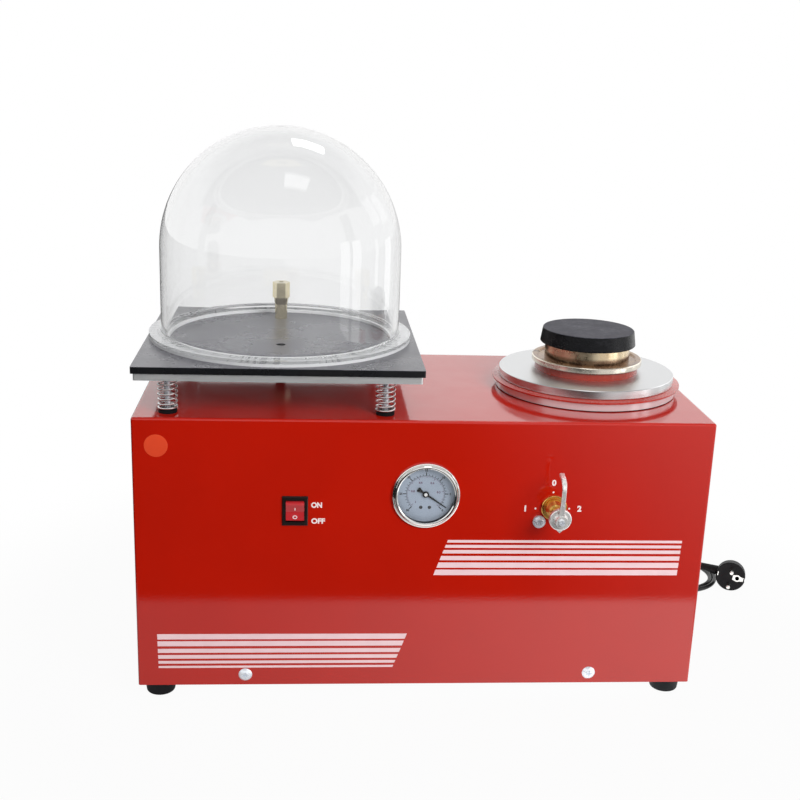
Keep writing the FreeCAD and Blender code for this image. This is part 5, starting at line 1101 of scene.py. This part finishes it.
def make_world():
    """White room: full white for the eye and low down in mirrors, softer overhead and as a light."""
    world = bpy.data.worlds.new("studio")
    world.use_nodes = True
    tree = world.node_tree
    tree.nodes.clear()

    def link(kind, inputs=None, **settings):
        node = tree.nodes.new(kind)
        for key, value in settings.items():
            setattr(node, key, value)
        for key, value in (inputs or {}).items():
            if isinstance(value, bpy.types.NodeSocket):
                tree.links.new(value, node.inputs[key])
            else:
                node.inputs[key].default_value = value
        return node.outputs

    up = link("ShaderNodeSeparateXYZ", {0: link("ShaderNodeTexCoord")["Generated"]})[2]
    fade = {"Value": up, "From Min": 0.45, "From Max": 0.8, "To Min": 1.2, "To Max": 0.5}
    sky = link("ShaderNodeMapRange", fade, interpolation_type="SMOOTHSTEP")[0]
    path = link("ShaderNodeLightPath")
    rays = {0: path["Is Camera Ray"], 1: path["Is Transmission Ray"]}
    seen = link("ShaderNodeMath", rays, operation="MAXIMUM")[0]
    soft = link("ShaderNodeMix", {0: path["Is Glossy Ray"], 2: 0.40, 3: sky})[0]
    strength = link("ShaderNodeMix", {0: seen, 2: soft, 3: 1.0})[0]
    back = link("ShaderNodeBackground", {"Color": (1, 1, 1, 1), "Strength": strength})[0]
    link("ShaderNodeOutputWorld", {"Surface": back})
    scene.world = world


def add_lamp(name, place, target, size, power, mirrored=True, turn=0.0):
    """Soft rectangular lamp; mirrored says whether polished faces and the jar show it."""
    data = bpy.data.lights.new(name, "AREA")
    data.shape = "RECTANGLE"
    data.size, data.size_y = size
    data.energy = power
    lamp = bpy.data.objects.new(name, data)
    lamp.location = place
    lamp.rotation_euler = (Vector(target) - Vector(place)).to_track_quat("-Z", "Y").to_euler()
    lamp.rotation_euler.z += math.radians(turn)
    lamp.visible_glossy = mirrored
    lamp.visible_transmission = mirrored
    scene.collection.objects.link(lamp)


def add_card(name, place, target, size, light):
    """Card that only mirrors see: dark, or bright as a window, for polished faces to show."""
    bm = bmesh.new()
    w, h = size[0] / 2, size[1] / 2
    grid_faces(bm, [[Vector((-w, -h, 0)), Vector((w, -h, 0))], [Vector((-w, h, 0)), Vector((w, h, 0))]],
               closed_columns=False)
    f = Finish(name, (0.02, 0.02, 0.02, 1), 1.0, 0.0, {"Specular IOR Level": 0.0})
    f.set("Emission Color", (1, 1, 1, 1))
    f.set("Emission Strength", light)
    card = add_object(name, mesh_from(bm, name), f.material)
    card.location = place
    card.rotation_euler = (Vector(target) - Vector(place)).to_track_quat("-Z", "Y").to_euler()
    card.visible_camera = False
    card.visible_diffuse = False
    card.visible_shadow = False
    card.visible_transmission = False


make_floor()
make_world()
add_lamp("key", (1.1, -1.75, 1.45), (0, 0, 0.2), (1.2, 1.0), 39.0, False)
add_lamp("rear", (-0.2, 2.4, 0.5), (0, 0, 0.2), (1.4, 0.8), 16.0, False)
# two ceiling panels, which the jar shows near its top
CEILING_Z = 2060
add_lamp("ceiling_front", at(205, -380, CEILING_Z), at(205, -380, 0), (0.57, 0.46), 1.3)
add_lamp("ceiling_back", at(290, 1290, CEILING_Z), at(290, 1290, 0), (0.60, 0.42), 4.2, turn=8)
# window panes in a wall to the right, which the jar's side shows: low and high y, low and high z, light
WALL_X = 1.3
for number, (low_y, high_y, low_z, high_z, light) in enumerate((
        (-0.96, -0.64, 0.02, 0.74, 2.6), (-0.55, -0.29, 0.02, 0.70, 2.6), (0.18, 0.30, 0.05, 0.58, 2.0),
        (0.62, 1.00, 0.05, 0.50, 2.0), (0.25, 0.62, 0.78, 1.28, 1.9), (0.70, 1.15, 0.72, 1.22, 1.7))):
    middle = Vector((WALL_X, (low_y + high_y) / 2, (low_z + high_z) / 2))
    size = (high_y - low_y, high_z - low_z)
    add_card("window_" + str(number), middle, middle - Vector((1, 0, 0)), size, light)
add_card("card_left", (-2.6, -0.6, 0.7), (0, 0, 0.3), (0.35, 2.6), 0.25)
add_card("card_right", (2.5, -1.0, 0.7), (0, 0, 0.3), (0.5, 2.6), 0.0)
scene.view_settings.view_transform = "Standard"

# clear walls let the lamps' light through
for clear_name in ("bell_jar_dome", "gauge_lens"):
    NODES[clear_name].visible_shadow = False
